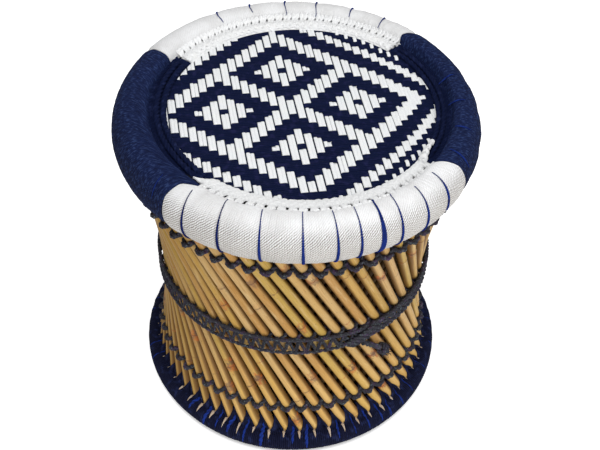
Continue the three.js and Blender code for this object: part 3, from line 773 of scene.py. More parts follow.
def white_braid(body, angles, point):
    """Three broad strands plaited over a flat bed; point narrows the run where it begins."""
    low, high = braid_edges(angles)
    size = 0.12 + 0.88 * smooth(point)
    raised = BRAID_LEAF_RISE * (1 - smooth(point))
    middle = BRAID_POINT_RADIUS + ((low + high) / 2 - BRAID_POINT_RADIUS) * smooth(point)
    swing = ((high - low) / 2 - 0.545 * BRAID_STRAND) * size
    length = (angles - angles[0]) * middle.mean()
    for share in (0.3, 0.7):
        radius = middle + (share - 0.5) * (high - low) * size
        bed = on_seat(radius, angles, braid_level(radius, angles) - BED_SINK + raised)
        tube(body, bed, UP, (high - low) * 0.6 * size, BED_THICKNESS, 8)
    for k in range(3):
        phase = 2 * pi * (length / BRAID_LAY + k / 3)
        radius = middle + swing * sin(phase)
        z = braid_level(radius, angles) + BRAID_LIFT * cos(2 * phase) + 0.6 * raised
        wide = BRAID_STRAND * size * (1 + 0.3 * front_lean(angles))
        twisted(body, on_seat(radius, angles, z), UP, wide, BRAID_STRAND_LAY, plies=3, flat=0.8)


def navy_braid(body, angles):
    """On the navy sides the cords lie as two smooth ropes with a dark line between."""
    low, high = braid_edges(angles)
    quarter = (high - low) / 4
    ends = smooth(np.minimum(angles - angles[0], angles[-1] - angles) / ROPE_END)
    for offset, rise in ((1, 0.0), (3, ROPE_RISE)):
        rope = on_seat(low + quarter * offset, angles, BRAID_HEIGHT + rise - ROPE_DIP * (1 - ends))
        twisted(body, rope, UP, quarter * 1.75 * (0.5 + 0.5 * ends), ROPE_LAY, plies=3, flat=0.85)
    shift, rise, wider, thick = NAVY_BED
    bed = on_seat((low + high) / 2 + shift, angles, BRAID_HEIGHT + rise)
    tube(body, bed, UP, high - low + wider, thick, 8)
    shift, rise, thick, lay = CREASE_CORD
    twisted(body, on_seat(high + shift, angles, BRAID_HEIGHT + rise), UP, thick, lay, plies=3)


def stitches(body, start, end, front):
    """Short cords side by side from the braid over the crease to the wrap, with a hole at each pitch."""
    count = max(1, round((end - start) * STITCH_RADIUS / STITCH_PITCH))
    pitch = (end - start) / count
    across = linspace(STITCH_PLACES[0], STITCH_PLACES[-1], 10)
    level, steep = (interp(across, STITCH_PLACES, z) for z in (STITCH_LEVELS, FRONT_STITCH_LEVELS))
    wide, flat = (STITCH_CORD, 0.8) if front else (BACK_STITCH_CORD, 0.45)
    for i in range(count):
        for side in (-1, 1):
            gap = FRONT_HOLES[(i + (side > 0)) % 2] if front else rng.uniform(*BACK_HOLES)
            drawn = gap * exp(-(((across - HOLE_PLACE) / HOLE_LENGTH) ** 2))
            centre = start + pitch * (i + 0.5 + side * 0.25)
            edge = braid_edges(centre)[1]
            angle = centre - side * (drawn - rng.normal(0, STITCH_SCATTER)) / 2 / edge
            z = level + (steep - level) * front_lean(centre)
            twisted(body, on_seat(edge + across, angle, z), UP, wide, STITCH_LAY, flat=flat)


def seat_braid(side):
    start, end = (radians(x) for x in BRAID_SPANS[side])
    body = Body()
    angles = arange(start, end, BRAID_STEP / BRAID_RADIUS)
    colour = RIM_COLOURS[side]
    if colour == "white":
        front = side == "front"
        white_braid(body, angles, (angles - start) / BRAID_POINT if front else np.ones(len(angles)))
        stitches(body, start + (0.8 * BRAID_POINT if front else 0.0), end, front)
    else:
        navy_braid(body, angles)
    body.build(f"braid_{side}", f"{colour}_cord", f"braid_{colour}", f"seat_braid_{side}")


def braid_core():
    """A near-black cord in the crease under the stitches, seen through the holes: painted shade."""
    angles = circle(240)
    lean = front_lean(angles)
    radius = braid_edges(angles)[1] + CORE_PLACE + CORE_FRONT_SHIFT * lean
    path = on_seat(radius, angles, CORE_LEVEL + CORE_FRONT_RISE * lean)
    body = Body()
    tube(body, path, UP, CORE_WIDTH, CORE_THICKNESS + CORE_FRONT_SHIFT * lean, loop=True)
    body.build("braid_core", "dark_cord", "hoop")


# Loose end of the white braid: its course over the seat, and where its knots are and how big
TIP_START, TIP_SWEEP = radians(-35), radians(12.5)
TIP_RADII = (0.1462, 0.1424, 0.1426)
TIP_RISE, TIP_BOW = 0.0028, 0.0014
TIP_CORD, TIP_TAPER, TIP_LAY = 0.0050, 0.0024, 0.009
TIP_KNOTS = ((0.12, 0.0090), (0.36, 0.0072), (0.66, 0.0052), (0.95, 0.0050))
KNOT_SPREAD = 0.0011
KNOT_SLANT = 0.0010


def braid_tip():
    """The loose end: two plies with a few knots, each of two loops."""
    share = linspace(0, 1, 40)
    angle = TIP_START + TIP_SWEEP * share
    r = interp(share, (0, 0.5, 1), TIP_RADII)
    path = on_seat(r, angle, BRAID_HEIGHT + TIP_RISE + TIP_BOW * sin(pi * share))
    body = Body()
    twisted(body, path, UP, TIP_CORD - TIP_TAPER * smooth(share), TIP_LAY)
    along = unit(path[-1] - path[0])
    side = np.cross(UP, along)
    turn = circle(18)[:, None]
    for knot, size in TIP_KNOTS:
        centre = path[int(knot * (len(path) - 1))]
        for shift in (-KNOT_SPREAD, KNOT_SPREAD):
            moved = centre + along * (shift + KNOT_SLANT * sin(turn + 3 * shift))
            loop = moved + (side * cos(turn) + UP * sin(turn)) * size / 3
            tube(body, loop, unit(loop - centre), size / 3, loop=True)
    body.build("braid_end", "white_cord", "braid_white", "seat_braid_tip")


# Seat weave: paired white cords and thin navy strands, over and under by a diamond rule
WEAVE_CENTRE = (-0.0058, -0.0008)
COLUMN_PITCH = 0.00869
ROW_PITCH = 0.00771
COLUMN_TURN = radians(11.3)
ROW_TURN = radians(9.8)
COLUMNS = arange(-18, 20)
ROWS = range(-21, 22)
WEAVE_HEIGHT = 0.3724
WEAVE_LIFT = 0.00115
WEAVE_STEP = 0.0021
WEAVE_RISE_SHARE = 0.34
WEAVE_SQUARE = 0.6
WHITE_STRAND = (0.0038, 0.0017)
NAVY_STRAND = (0.0027, 0.0019)
PAIR_OVERLAP = 0.0001
WHITE_SCATTER = 0.00012
NAVY_SCATTER = 0.0001
WHITE_SHIFTS, WHITE_TONES = (-0.2, 0.2), (-0.1, 0.25)
NAVY_SHIFTS, NAVY_TONES = (-0.04, 0.04), (-0.1, 0.2)
# The pattern, counted in crossings from the seat's middle, and how columns crowd at the right
DIAMOND = 16
FLOWER_REACH = 3
PATTERN_REACH = 17
BORDER_REACH = (21, 22)
DOT_REACH, DOT_SIDE = 24, 8
DOT_RISE = 2.7
CROWD_FROM, CROWD_OVER, CROWD_MOST, CROWDING = 9, 8, 1.3, 1.15
column_step = COLUMN_PITCH * array([cos(ROW_TURN), sin(ROW_TURN)])
row_step = ROW_PITCH * array([-sin(COLUMN_TURN), cos(COLUMN_TURN)])


def white_over(i, j):
    """True where a white cord lies on top, for crossing i across and j away from the viewer."""
    i, j = np.broadcast_arrays(i, j)
    reach = abs(i) + abs(j)
    u, v = abs(i + j) % DIAMOND, abs(i - j) % DIAMOND
    lattice = (np.minimum(u, DIAMOND - u) <= 1) | (np.minimum(v, DIAMOND - v) <= 1)
    flower = np.zeros(i.shape, bool)
    half = DIAMOND // 2
    for ci, cj in ((half, 0), (-half, 0), (0, half), (0, -half)):
        off = abs(i - ci) + abs(j - cj)
        flower |= (off <= FLOWER_REACH) & (off > 0)
    inside = (reach <= PATTERN_REACH) & (i > -PATTERN_REACH) & (j > -PATTERN_REACH) & (lattice | flower)
    return inside | (reach >= BORDER_REACH[0]) & (reach <= BORDER_REACH[1]) & (i > -PATTERN_REACH)


def dot(i, j):
    """Far from the centre on the right, single cords come up in a row of dots."""
    return (abs(i) + abs(j) == DOT_REACH) & (i > 0) & (abs(j) > DOT_SIDE)


def white_level(i, j, side):
    return where(dot(i, j) & (side > 0), DOT_RISE, where(white_over(i, j), 1.0, -1.0))


def column_place(i):
    """Columns lie a little closer together toward the right edge."""
    return i - CROWDING * clip((i - CROWD_FROM) / CROWD_OVER, 0, CROWD_MOST) ** 2


def column_at(place):
    """Which column a distance along a row falls on, in columns and parts of them."""
    return interp(place, column_place(COLUMNS), COLUMNS, left=COLUMNS[0] - 0.5, right=COLUMNS[-1] + 0.5)


def chord(origin, direction, radius):
    """Start and end, along a line, of its stretch within the seat. They meet where it misses."""
    toward = origin - array([SEAT_OFFSET, 0])
    middle = -toward @ direction
    half = sqrt(max(0.0, radius**2 - (toward @ toward - middle**2)))
    return middle - half, middle + half


def weave_line(body, origin, direction, strand, crossing_at, over, shift, tone):
    """One strand that rises over and dips under at each crossing. over gives its level there."""
    s = arange(*chord(origin, direction, SEAT_EDGE_RADIUS), WEAVE_STEP)
    if len(s) < 4:
        return
    crossing = crossing_at(s) + shift
    low = np.floor(crossing).astype(int)
    part = smooth((crossing - low - 0.5) / WEAVE_RISE_SHARE + 0.5)
    level = over(low) * (1 - part) + over(low + 1) * part
    path = np.column_stack([origin + direction * s[:, None], WEAVE_HEIGHT + WEAVE_LIFT * level])
    tube(body, path, UP, *strand, tone=tone, square=WEAVE_SQUARE)


def seat_weave():
    centre = array(WEAVE_CENTRE)
    across, away = unit(column_step), unit(row_step)
    body = Body()
    for i in COLUMNS:
        for side in (-1, 1):
            off = side * (WHITE_STRAND[0] / 2 - PAIR_OVERLAP) + rng.normal(0, WHITE_SCATTER)
            weave_line(
                body, centre + column_step * column_place(i) + across * off, away, WHITE_STRAND,
                lambda s: s / ROW_PITCH, lambda j, i=i, side=side: white_level(i, j, side),
                rng.uniform(*WHITE_SHIFTS), rng.uniform(*WHITE_TONES),
            )
    body.build("seat_white_cords", "seat_white", "seat_white", "seat_warp_sheet")
    body = Body()
    for j in ROWS:
        for k in (-1, 0, 1):
            off = k * ROW_PITCH / 3 + rng.normal(0, NAVY_SCATTER)
            weave_line(
                body, centre + row_step * j + away * off, across, NAVY_STRAND,
                lambda s: column_at(s / COLUMN_PITCH), lambda i, j=j: where(white_over(i, j), -1.0, 1.0),
                rng.uniform(*NAVY_SHIFTS), rng.uniform(*NAVY_TONES),
            )
    body.build("seat_navy_cords", "seat_navy", "seat_navy", "seat_weft_sheet")


# Reeds, with rows of points set close about each node
REED_SIDES = 14
INNER_REED_SIDES = 10
REED_STEP = 0.018
NODE_SPACING = (0.13, 0.30)
NODE_ROWS = (0, 0.0006, 0.0014, 0.003, 0.006)
NODE_RISE = 0.00045
NODE_WIDTH = 0.0016
NODE_DIP = 0.0002
NODE_DIP_PLACE = 0.0024
NODE_DIP_WIDTH = 0.0012
STAINED_SHARE = 0.5
BLUSHES, LEAST_BLUSH = (0.6, 1.0), 0.15
SHADED_SIDE_TONES = (0.0, 0.85, 0.55)
REED_SIZES, REED_TAPER = (0.92, 1.0), 0.06
BINDING_WIDTH = 0.004
BINDING_HEIGHT = 0.003


def reed(body, layer, waist_angle, sides):
    foot = polar(layer.waist, waist_angle, WAIST_HEIGHT)
    axis = radial(waist_angle + pi / 2) * layer.slope + UP
    low, high = (foot + axis * (z - WAIST_HEIGHT) for z in (reed_bottom, reed_top - BINDING_HEIGHT))
    length = np.linalg.norm(high - low)
    nodes, at = [], rng.uniform(0.0, NODE_SPACING[0])
    while at < length:
        nodes.append(at)
        at += rng.uniform(*NODE_SPACING)
    rows = [*arange(0, length, REED_STEP), length]
    rows += [node + sign * off for node in nodes for off in NODE_ROWS for sign in (-1, 1)]
    rows = np.unique(clip(rows, 0, length))
    distance = rows[:, None] - array(nodes)
    nearest = abs(distance).argmin(1)
    off = distance[arange(len(rows)), nearest]
    blush = where(rng.random(len(nodes)) < STAINED_SHARE, rng.uniform(*BLUSHES, len(nodes)), LEAST_BLUSH)
    # Painted shade: reeds on the stool's left take their tones only from a darker set
    side_share = smooth((-cos(waist_angle) - 0.35) / 0.5)
    tone = rng.random() * (1 - side_share) + rng.choice(SHADED_SIDE_TONES) * side_share
    size = layer.radius * (rng.uniform(*REED_SIZES) - REED_TAPER * rows / length)
    size = size + NODE_RISE * exp(-((off / NODE_WIDTH) ** 2))
    size = size - NODE_DIP * exp(-(((off - NODE_DIP_PLACE) / NODE_DIP_WIDTH) ** 2))
    path = low + (high - low) * (rows / length)[:, None]
    up, across = frame_along(path, radial(waist_angle))
    turn = 2 * pi * arange(sides)[:, None] / sides
    grid = path[:, None] + (up[:, None] * cos(turn) + across[:, None] * sin(turn)) * size[:, None, None]
    place = vectors(cos(turn[:, 0]), sin(turn[:, 0]), rows[:, None])
    body.skin(grid, place, vectors(tone, off, blush[nearest])[:, None])


def reed_panel(layer, name, panel, sides):
    """Five reeds, and the cord that binds their tops inside the rim."""
    body = Body()
    first = first_waist_angle + 2 * pi * panel / PANELS
    angles = first + REED_PITCH * arange(REEDS_PER_PANEL)
    for angle in angles:
        reed(body, layer, angle, sides)
    z = reed_top - BINDING_HEIGHT / 2
    bound = layer.angle(linspace(angles[0], angles[-1], 4 * REEDS_PER_PANEL), z)
    tube(body, polar(layer.reach(z), bound, z), radial(bound), BINDING_HEIGHT, BINDING_WIDTH, 8)
    label = f"{panel + 1:02d}"
    body.build(f"{name}_reeds_{label}", f"reed_{name}", f"reed_{name}", f"{name}_reed_panel_{label}")


# Twined rows: two cords that pass in front of and behind the reeds in turn. The belt covers the
# row at the waist, which lies lower there, but for a stretch at the front
TWINE_DIAMETER = 0.0061
TWINE_LAY = 0.011
TWINE_SAG = 0.0024
TWINE_TWIST = 0.0022
TWINE_TUCK = 0.0030
TWINE_STEPS = 12
WAIST_TWINE_SHOWN = radians(-76)
WAIST_TWINE_DROP = 0.0055
WAIST_TWINE_REACH, WAIST_TWINE_FADE = radians(18), radians(8)


def covered(angle):
    """0 where the row at the waist shows above the belt, and 1 where the belt covers it."""
    off = (angle - WAIST_TWINE_SHOWN + pi) % (2 * pi) - pi
    return smooth((abs(off) - WAIST_TWINE_REACH) / WAIST_TWINE_FADE)


def twine_row(name, z, node, flatten=1.0, drop=0.0):
    """In each gap between reeds the two cords cross, the one that has just passed in front
    above the one that is about to."""
    body = Body()
    count = REED_COUNT * TWINE_STEPS
    place = arange(count) / TWINE_STEPS
    angle = float(outer.angle(first_waist_angle, z - drop)) + REED_PITCH * place
    middle = z - drop * covered(angle)
    front = outer.radius + TWINE_DIAMETER * 0.42 * flatten
    back = outer.radius * 0.9
    thick = TWINE_DIAMETER * (0.5 + 0.5 * flatten)
    for k in range(2):
        wave = cos(pi * (place + k))
        ahead = np.sign(wave) * abs(wave) ** 0.75
        r = outer.reach(middle) + where(ahead > 0, front, back) * ahead - TWINE_TUCK * (1 - abs(wave))
        height = middle - TWINE_SAG * clip(wave, 0, 1) + TWINE_TWIST * sin(pi * (place + k))
        twisted(body, polar(r, angle, height), radial(angle), thick, TWINE_LAY, loop=True, tone=0.1 * k)
    body.build(name, "grey_cord", "twine", node)


# Belt: two edge cords and a zigzag between them, loose with holes at the front and left, and
# turns of cord that tie it. Where the belt is tight, its cords are thicker by the swell
BELT_LIFT = 0.0034
BELT_RADIUS = outer_waist + REED_DIAMETER / 2 + BELT_LIFT
BELT_EDGE_LIFT = 0.0028
BELT_EDGE_TUCK = 0.0004
BELT_HALF_HEIGHT = 0.0104
BELT_TIGHT_HALF_HEIGHT = 0.0082
BELT_PITCH = 0.0118
BELT_STEP = 0.0012
BELT_WOBBLE = 0.0004
UPPER_EDGE, LOWER_EDGE, EDGE_SWELL = 0.0041, 0.0039, 0.0007
UPPER_EDGE_LAY, LOWER_EDGE_LAY = 0.014, 0.013
ZIGZAG, ZIGZAG_SWELL, ZIGZAG_LAY = 0.0023, 0.0019, 0.009
ZIGZAG_INSET = 0.0016
ZIGZAG_DEPTH = 0.0006
ZIGZAG_SPREAD = 0.0009
ZIGZAG_RISE, ZIGZAG_TIGHT_RISE = 0.0002, 0.0034
# Degrees at which the belt grows tight and slack again, and over how many
TIGHT_FROM, TIGHT_OVER, SLACK_FROM, SLACK_OVER = -78, 20, 60, 60
BELT_TIE = radians(-62)
TIE_REACH, TIE_PITCH = radians(7.5), radians(1.2)
TIE_CORD = (0.0044, 0.012)
TIE_HALF_HEIGHT, TIE_SPREAD = 0.0085, 0.0024
TIE_LIFT, TIE_BOW, TIE_TUCK = 0.0032, 0.0012, 0.004


def belt_tightness(angle):
    """1 where the belt is drawn tight on the right, near its tie."""
    degrees = (np.degrees(angle) + 180) % 360 - 180
    return smooth((degrees - TIGHT_FROM) / TIGHT_OVER) * (1 - smooth((degrees - SLACK_FROM) / SLACK_OVER))


def belt():
    body = Body()
    angle = circle(round(2 * pi * BELT_RADIUS / BELT_STEP))
    outward, tight = radial(angle), belt_tightness(angle)
    half = BELT_HALF_HEIGHT + (BELT_TIGHT_HALF_HEIGHT - BELT_HALF_HEIGHT) * tight
    teeth = round(2 * pi * BELT_RADIUS / BELT_PITCH)
    level = BELT_HEIGHT + BELT_WOBBLE * sin(teeth * angle)
    reach = np.maximum(BELT_RADIUS, outer.reach(BELT_HEIGHT + half) + outer.radius + BELT_EDGE_LIFT)
    upper, lower = polar(reach - BELT_EDGE_TUCK, angle, level + half), polar(BELT_RADIUS, angle, level - half)
    twisted(body, upper, outward, UPPER_EDGE + EDGE_SWELL * tight, UPPER_EDGE_LAY, loop=True, plies=3)
    twisted(body, lower, outward, LOWER_EDGE + EDGE_SWELL * tight, LOWER_EDGE_LAY, loop=True)
    lean = teeth * angle + 0.25 * sin(7 * angle + 0.4) + 0.2 * sin(17 * angle)
    swing = (half - ZIGZAG_INSET) * (1 - 0.5 * tight) * sin(lean + 0.55 * sin(lean))
    for side in (-1, 1):
        height = BELT_HEIGHT + swing + side * (ZIGZAG_RISE + ZIGZAG_TIGHT_RISE * tight)
        radius = BELT_RADIUS + ZIGZAG_DEPTH * cos(2 * lean) * side
        path = polar(radius, angle + side * ZIGZAG_SPREAD * (1 - tight) / BELT_RADIUS, height)
        twisted(body, path, outward, ZIGZAG + ZIGZAG_SWELL * tight, ZIGZAG_LAY, loop=True, tone=0.1)
    run = linspace(-1, 1, 40)
    lift = TIE_LIFT + TIE_BOW * cos(pi * run / 2) - TIE_TUCK * smooth((abs(run) - 0.75) / 0.25)
    for row in range(4):
        over = BELT_TIE + TIE_REACH * run + TIE_PITCH * row
        height = BELT_HEIGHT + TIE_HALF_HEIGHT * run + TIE_SPREAD * (1.5 - row)
        path = polar(BELT_RADIUS + lift, over, height)
        twisted(body, path, radial(over), *TIE_CORD, tone=0.05 * row)
    body.build("belt", "grey_cord", "belt", "waist_belt")


# The belt's tail, its knot of three loops, and the frayed end below. Cords: thickness, then lay
TAIL_START, TAIL_END = radians(-60), radians(-50.2)
TAIL_TOP, TAIL_BOTTOM = 0.160, 0.1325
TAIL_CORD = (0.0062, 0.012)
TAIL_LIFT, TAIL_BOW = 0.0022, 0.002
KNOT_SIZE = 0.0175
KNOT_LIFT = 0.0008
KNOT_CORD = (0.0052, 0.010)
KNOT_TILTS = (-0.5, 0.1, 0.6)
KNOT_PITCH = 0.0028
FRAY_STRANDS = 60
FRAY_DROP, FRAY_SPREAD = 0.004, 0.0015
FRAY_LENGTHS = (0.006, 0.0105)
FRAY_SIDE_BEND, FRAY_OUT_BEND = 0.0015, 0.001
FRAY_CORD, FRAY_TAPER, FRAY_LEAN = 0.0013, 0.0008, 0.01


def belt_tail():
    share = linspace(0, 1, 26)
    angle = TAIL_START + (TAIL_END - TAIL_START) * share
    z = TAIL_TOP + (TAIL_BOTTOM - TAIL_TOP) * share**1.3
    path = polar(BELT_RADIUS + TAIL_LIFT + TAIL_BOW * sin(pi * share), angle, z)
    body = Body()
    twisted(body, path, radial(angle), *TAIL_CORD)
    body.build("tail", "grey_cord", "belt", "belt_tail")
    along, out = unit(path[-1] - path[-4]), radial(TAIL_END)
    side = np.cross(along, out)
    centre = path[-1] + along * KNOT_SIZE * 0.42 + out * KNOT_LIFT
    knot = Body()
    turn = circle(40)[:, None]
    for k, tilt in enumerate(KNOT_TILTS):
        axis = unit(along + side * tilt + out * (0.2 - 0.3 * k))
        first = unit(np.cross(axis, out))
        ring = first * cos(turn) + np.cross(axis, first) * sin(turn)
        loop = centre + along * (k - 1) * KNOT_PITCH + ring * KNOT_SIZE * 0.27
        twisted(knot, loop, ring, *KNOT_CORD, loop=True)
    steps = linspace(0, 1, 7)[:, None]
    for _ in range(FRAY_STRANDS):
        start = centre + along * FRAY_DROP + (side * rng.normal() + out * rng.normal()) * FRAY_SPREAD
        push = unit(along * rng.uniform(0.2, 1.0) + side * rng.normal(0, 0.8) + out * rng.uniform(0.1, 0.9))
        reach = rng.uniform(*FRAY_LENGTHS)
        bend = side * rng.normal(0, FRAY_SIDE_BEND) + out * rng.normal(0, FRAY_OUT_BEND)
        fray = start + push * reach * steps + bend * steps**2
        thick = FRAY_CORD - FRAY_TAPER * steps[:, 0]
        tube(knot, fray, out + FRAY_LEAN * side, thick, sides=4, tone=rng.uniform(0.0, 0.5))
    knot.build("tail_knot", "grey_cord", "belt", "belt_tail_knot")


# Base ring: turns over the lip, and fans of cord that rise between the reed ends
BASE_TURNS_PER_REED = 8
BASE_POINTS = 30
BASE_SCATTER = 0.0001
LIP_DROP = 0.0008
FAN_CORDS = 8
FAN_CORD = 0.0024
FAN_CROWN = 0.0018
FAN_TOP = 0.041
FAN_SCATTER = 0.0008
FAN_START = 0.004
FAN_LIFT = 0.0006
FAN_RISE_SHARE = 0.5
FAN_SPREAD_SHARE = 0.5
FAN_TONES = (-0.15, 0.3)
TIP_HEIGHT = 0.025
TIP_SHIFT = radians(-1.4)
# The ring's inner wall, from the slot to the foot: how far each point stands in, and its height
INNER_WALL = (
    (0.0, 0.019), (0.0024, 0.0188), (0.0048, 0.0158), (0.0052, 0.009), (0.0048, 0.002), (0.0038, 0.0),
)


def on_lip(lip, lift=0.0):
    """Radius and height on the ring's rounded lip."""
    r = lip_radius + (BASE_LIP_WIDTH + lift) * cos(lip)
    return r, BASE_LIP_HALF_HEIGHT + (BASE_LIP_HALF_HEIGHT + lift) * sin(lip)


def base_outline():
    """Radius and height of the ring's section, from the floor round the lip and the slot to the foot."""
    r, z = on_lip(linspace(-pi / 2, pi / 2, BASE_POINTS))
    inset, wall_z = np.transpose(INNER_WALL)
    r = array([*r, base_slot_outer, base_slot_outer, base_slot_inner, *(base_slot_inner - inset)])
    return r, array([*z, lip_top - LIP_DROP, BASE_FLOOR, BASE_FLOOR, *wall_z])


def fan_edge(k):
    """Angle of reed k's cut tip, where two fans meet."""
    return float(outer.angle(first_waist_angle + REED_PITCH * k, TIP_HEIGHT)) + TIP_SHIFT


def base_ring():
    r, z = base_outline()
    turns = REED_COUNT * BASE_TURNS_PER_REED
    turn = arange(turns * SAMPLES_PER_TURN) / SAMPLES_PER_TURN
    angle = fan_edge(0) + 2 * pi * turn / turns
    uneven = rng.normal(0, BASE_SCATTER, turns + 1)[(turn + 0.5).astype(int) % turns]
    share = linspace(0, 1, BASE_POINTS)
    outside = smooth((share - 0.04) / 0.1) * smooth((1 - share) / 0.06)
    amount = (turn_relief(turn + 0.5) + uneven)[:, None] * np.pad(outside, (0, len(r) - BASE_POINTS))
    across, rise = (r - lip_radius) / BASE_LIP_WIDTH, (z - BASE_LIP_HALF_HEIGHT) / BASE_LIP_HALF_HEIGHT
    grid = polar(r + across * amount, angle[:, None], z + rise * amount)
    place = vectors(turn[:, None], run_lengths(np.column_stack([r, z]))[0], 0.0)
    body = Body()
    body.skin(grid, place, array([0.6, 0.0, 0.0]), loop=True)
    body.build("base_wound_cord", "base_wound", "navy_cord", "base_wrap")


def fan_path(k, share, top, steps=20):
    """A cord of fan k, from the gap between two reeds, over the lip to its outer side."""
    left, right = fan_edge(k), fan_edge(k + 1)
    foot_angle = left + (right - left) * share
    t = linspace(0, 1, steps)
    rise = clip(t / FAN_RISE_SHARE, 0, 1)
    z_high = top + (lip_top + FAN_LIFT - top) * rise
    gap_now = outer.angle(first_waist_angle + REED_PITCH * (k + 0.5), z_high)
    angle = gap_now + (foot_angle - gap_now) * clip(t / FAN_SPREAD_SHARE, 0, 1)
    near = outer.reach(z_high)
    side = abs(angle - gap_now) * near * cos(REED_LEAN)
    across = clip(REED_PITCH / 2 * near * cos(REED_LEAN) - side, 0, outer.radius)
    cover = sqrt(np.maximum(outer.radius**2 - across**2, 0))
    crown = FAN_CROWN * sin(pi * share)
    r_high = near + cover + FAN_CORD * 0.4 + crown * rise
    r_high[0] -= FAN_START
    fall = clip((t - FAN_RISE_SHARE) / (1 - FAN_RISE_SHARE), 0, 1)
    r_low, z_low = on_lip(pi / 2 * (1 - fall * 1.05), crown * (1 - fall))
    low = t > FAN_RISE_SHARE
    r = where(low, r_low, np.maximum(r_high, lip_radius * rise))
    return polar(r, angle, where(low, z_low, z_high)), radial(angle) + 0.6 * UP


def base_fans():
    body = Body()
    for k in range(REED_COUNT):
        for i in range(FAN_CORDS):
            path, outward = fan_path(k, (i + 0.5) / FAN_CORDS, FAN_TOP + rng.normal(0, FAN_SCATTER))
            tube(body, path, outward, FAN_CORD, tone=rng.uniform(*FAN_TONES))
    body.build("base_fans", "fan_cord", "navy_cord")


# Bright streaks over the fans, and split ends of reeds that poke out between them
FRONT_MIDDLE, FRONT_REACH, FRONT_FADE = -92, 62, 30
STREAK_CHANCE = 0.25
FRONT_STREAK_CHANCE = 0.8
STREAK_PLACES = (0.35, 0.75)
STREAK_TOPS = (0.029, 0.034)
STREAK_LIFT = 0.0017
STREAK_LAY = 0.012
STREAK_WIDTHS = (0.0014, 0.0020)
FRONT_STREAK_WIDTHS = (0.0004, 0.0034)
SLIVER_START = radians(128)
SLIVER_FALLS = (20, 32)
FRONT_SLIVER_FALLS = (32, 62)
SLIVER_LIFT, SLIVER_ROOT_LIFT = 0.0014, 0.0020
SLIVER_WIDTHS = (0.0036, 0.0058)
SLIVER_POINT, SLIVER_THICKNESS = 0.0003, 0.0012


def front_share(angle):
    """1 at the front of the stool, 0 past its sides."""
    off = abs((np.degrees(angle) - FRONT_MIDDLE + 180) % 360 - 180)
    return float(smooth((FRONT_REACH - off) / FRONT_FADE))


def base_accents():
    body = Body()
    for k in range(REED_COUNT):
        front = front_share(fan_edge(k))
        if rng.random() > STREAK_CHANCE + (FRONT_STREAK_CHANCE - STREAK_CHANCE) * front:
            continue
        width = rng.uniform(*STREAK_WIDTHS) + front * rng.uniform(*FRONT_STREAK_WIDTHS)
        route, outward = fan_path(k, rng.uniform(*STREAK_PLACES), rng.uniform(*STREAK_TOPS), 26)
        route = route + unit(outward) * STREAK_LIFT
        for _ in range(8):
            route[1:-1] = (route[:-2] + 2 * route[1:-1] + route[2:]) / 4
        route = route[: rng.integers(20, 27)]
        taper = sin(pi * linspace(0.08, 0.95, len(route))) ** 0.6
        twisted(body, route, outward[: len(route)], width * taper, STREAK_LAY, flat=0.55)
    body.build("base_accents", "streak_cord", "blue_cord", "base_accent_cord")


def reed_tips():
    body = Body()
    t = linspace(0, 1, 12)
    for k in range(REED_COUNT):
        front = front_share(fan_edge(k))
        for split in range(rng.integers(1, 3)):
            fall = radians(rng.uniform(*SLIVER_FALLS) + front * rng.uniform(*FRONT_SLIVER_FALLS))
            fall *= 1 - 0.35 * split
            r, z = on_lip(SLIVER_START - t * fall, SLIVER_LIFT + SLIVER_ROOT_LIFT * (1 - t))
            angle = fan_edge(k) + radians(rng.uniform(-0.25, 0.25) + rng.uniform(-0.5, 0.5) * split) * t
            width = rng.uniform(*SLIVER_WIDTHS) * (1 - 0.5 * split) * (1 - t) ** 0.8 + SLIVER_POINT
            tone = rng.uniform(*FAN_TONES)
            tube(body, polar(r, angle, z), unit(radial(angle) + UP), width, SLIVER_THICKNESS, tone=tone)
    body.build("reed_tips", "reed_tip", "reed_outer")


# Stage: a pale floor that keeps the shadow and turns white to the camera outside the stool's ring. Inside the
# ring it is painted near black as painted shade
FLOOR_HALF = 6.0
FLOOR_WHITE = (0.93, 0.93, 0.93)
FLOOR_PAINTED_SHADE = (0.02, 0.02, 0.02)
FLOOR_LIFT = 0.66
FLOOR_LIFT_FROM = 0.172
FLOOR_SHADE_WITHIN = 0.17
FLOOR_BLEND = 0.01
WORLD_LIGHT = 0.46
LAMPS = (
    ("key", (0.0, -0.35, 2.3), 1.2, 19.5),
    ("fill", (1.4, -1.3, 1.3), 1.6, 5),
    ("front", (0.7, -2.2, 0.6), 1.4, 19),
)
LAMP_TARGET = (0.0, 0.0, 0.2)
CAMERA_PLACE = (0.00712, -0.79975, 1.02527)
CAMERA_TARGET = (0.00712, 0.0, 0.1989)
CAMERA_LENS = 59.76
CAMERA_SENSOR = 36.0
CAMERA_ROLL = radians(1.99)
CAMERA_CLIP = (0.05, 50)


def floor():
    mesh = bpy.data.meshes.new("floor")
    corners = [(x * FLOOR_HALF, y * FLOOR_HALF, 0) for x, y in ((-1, -1), (1, -1), (1, 1), (-1, 1))]
    mesh.from_pydata(corners, [], [(0, 1, 2, 3)])
    ground = add_object("floor", mesh)
    nodes = Nodes("floor_white", Roughness=1.0, Specular_IOR_Level=0.0, Emission_Color=(1, 1, 1, 1))
    length = nodes.add("VectorMath", nodes.spot())
    length.operation = "LENGTH"
    away = Value(nodes, length.outputs["Value"])
    seen = Value(nodes, nodes.add("LightPath").outputs["Is Camera Ray"])
    outside = away.ramp(FLOOR_LIFT_FROM, FLOOR_LIFT_FROM + FLOOR_BLEND, 0.0, FLOOR_LIFT)
    # Painted shade: the floor inside the ring is near black
    within = away.ramp(FLOOR_SHADE_WITHIN - FLOOR_BLEND, FLOOR_SHADE_WITHIN, 1.0, 0.0)
    nodes.put(nodes.shader["Base Color"], nodes.mix(within, FLOOR_WHITE, FLOOR_PAINTED_SHADE))
    nodes.put(nodes.shader["Emission Strength"], seen * outside)
    mesh.materials.append(nodes.material)


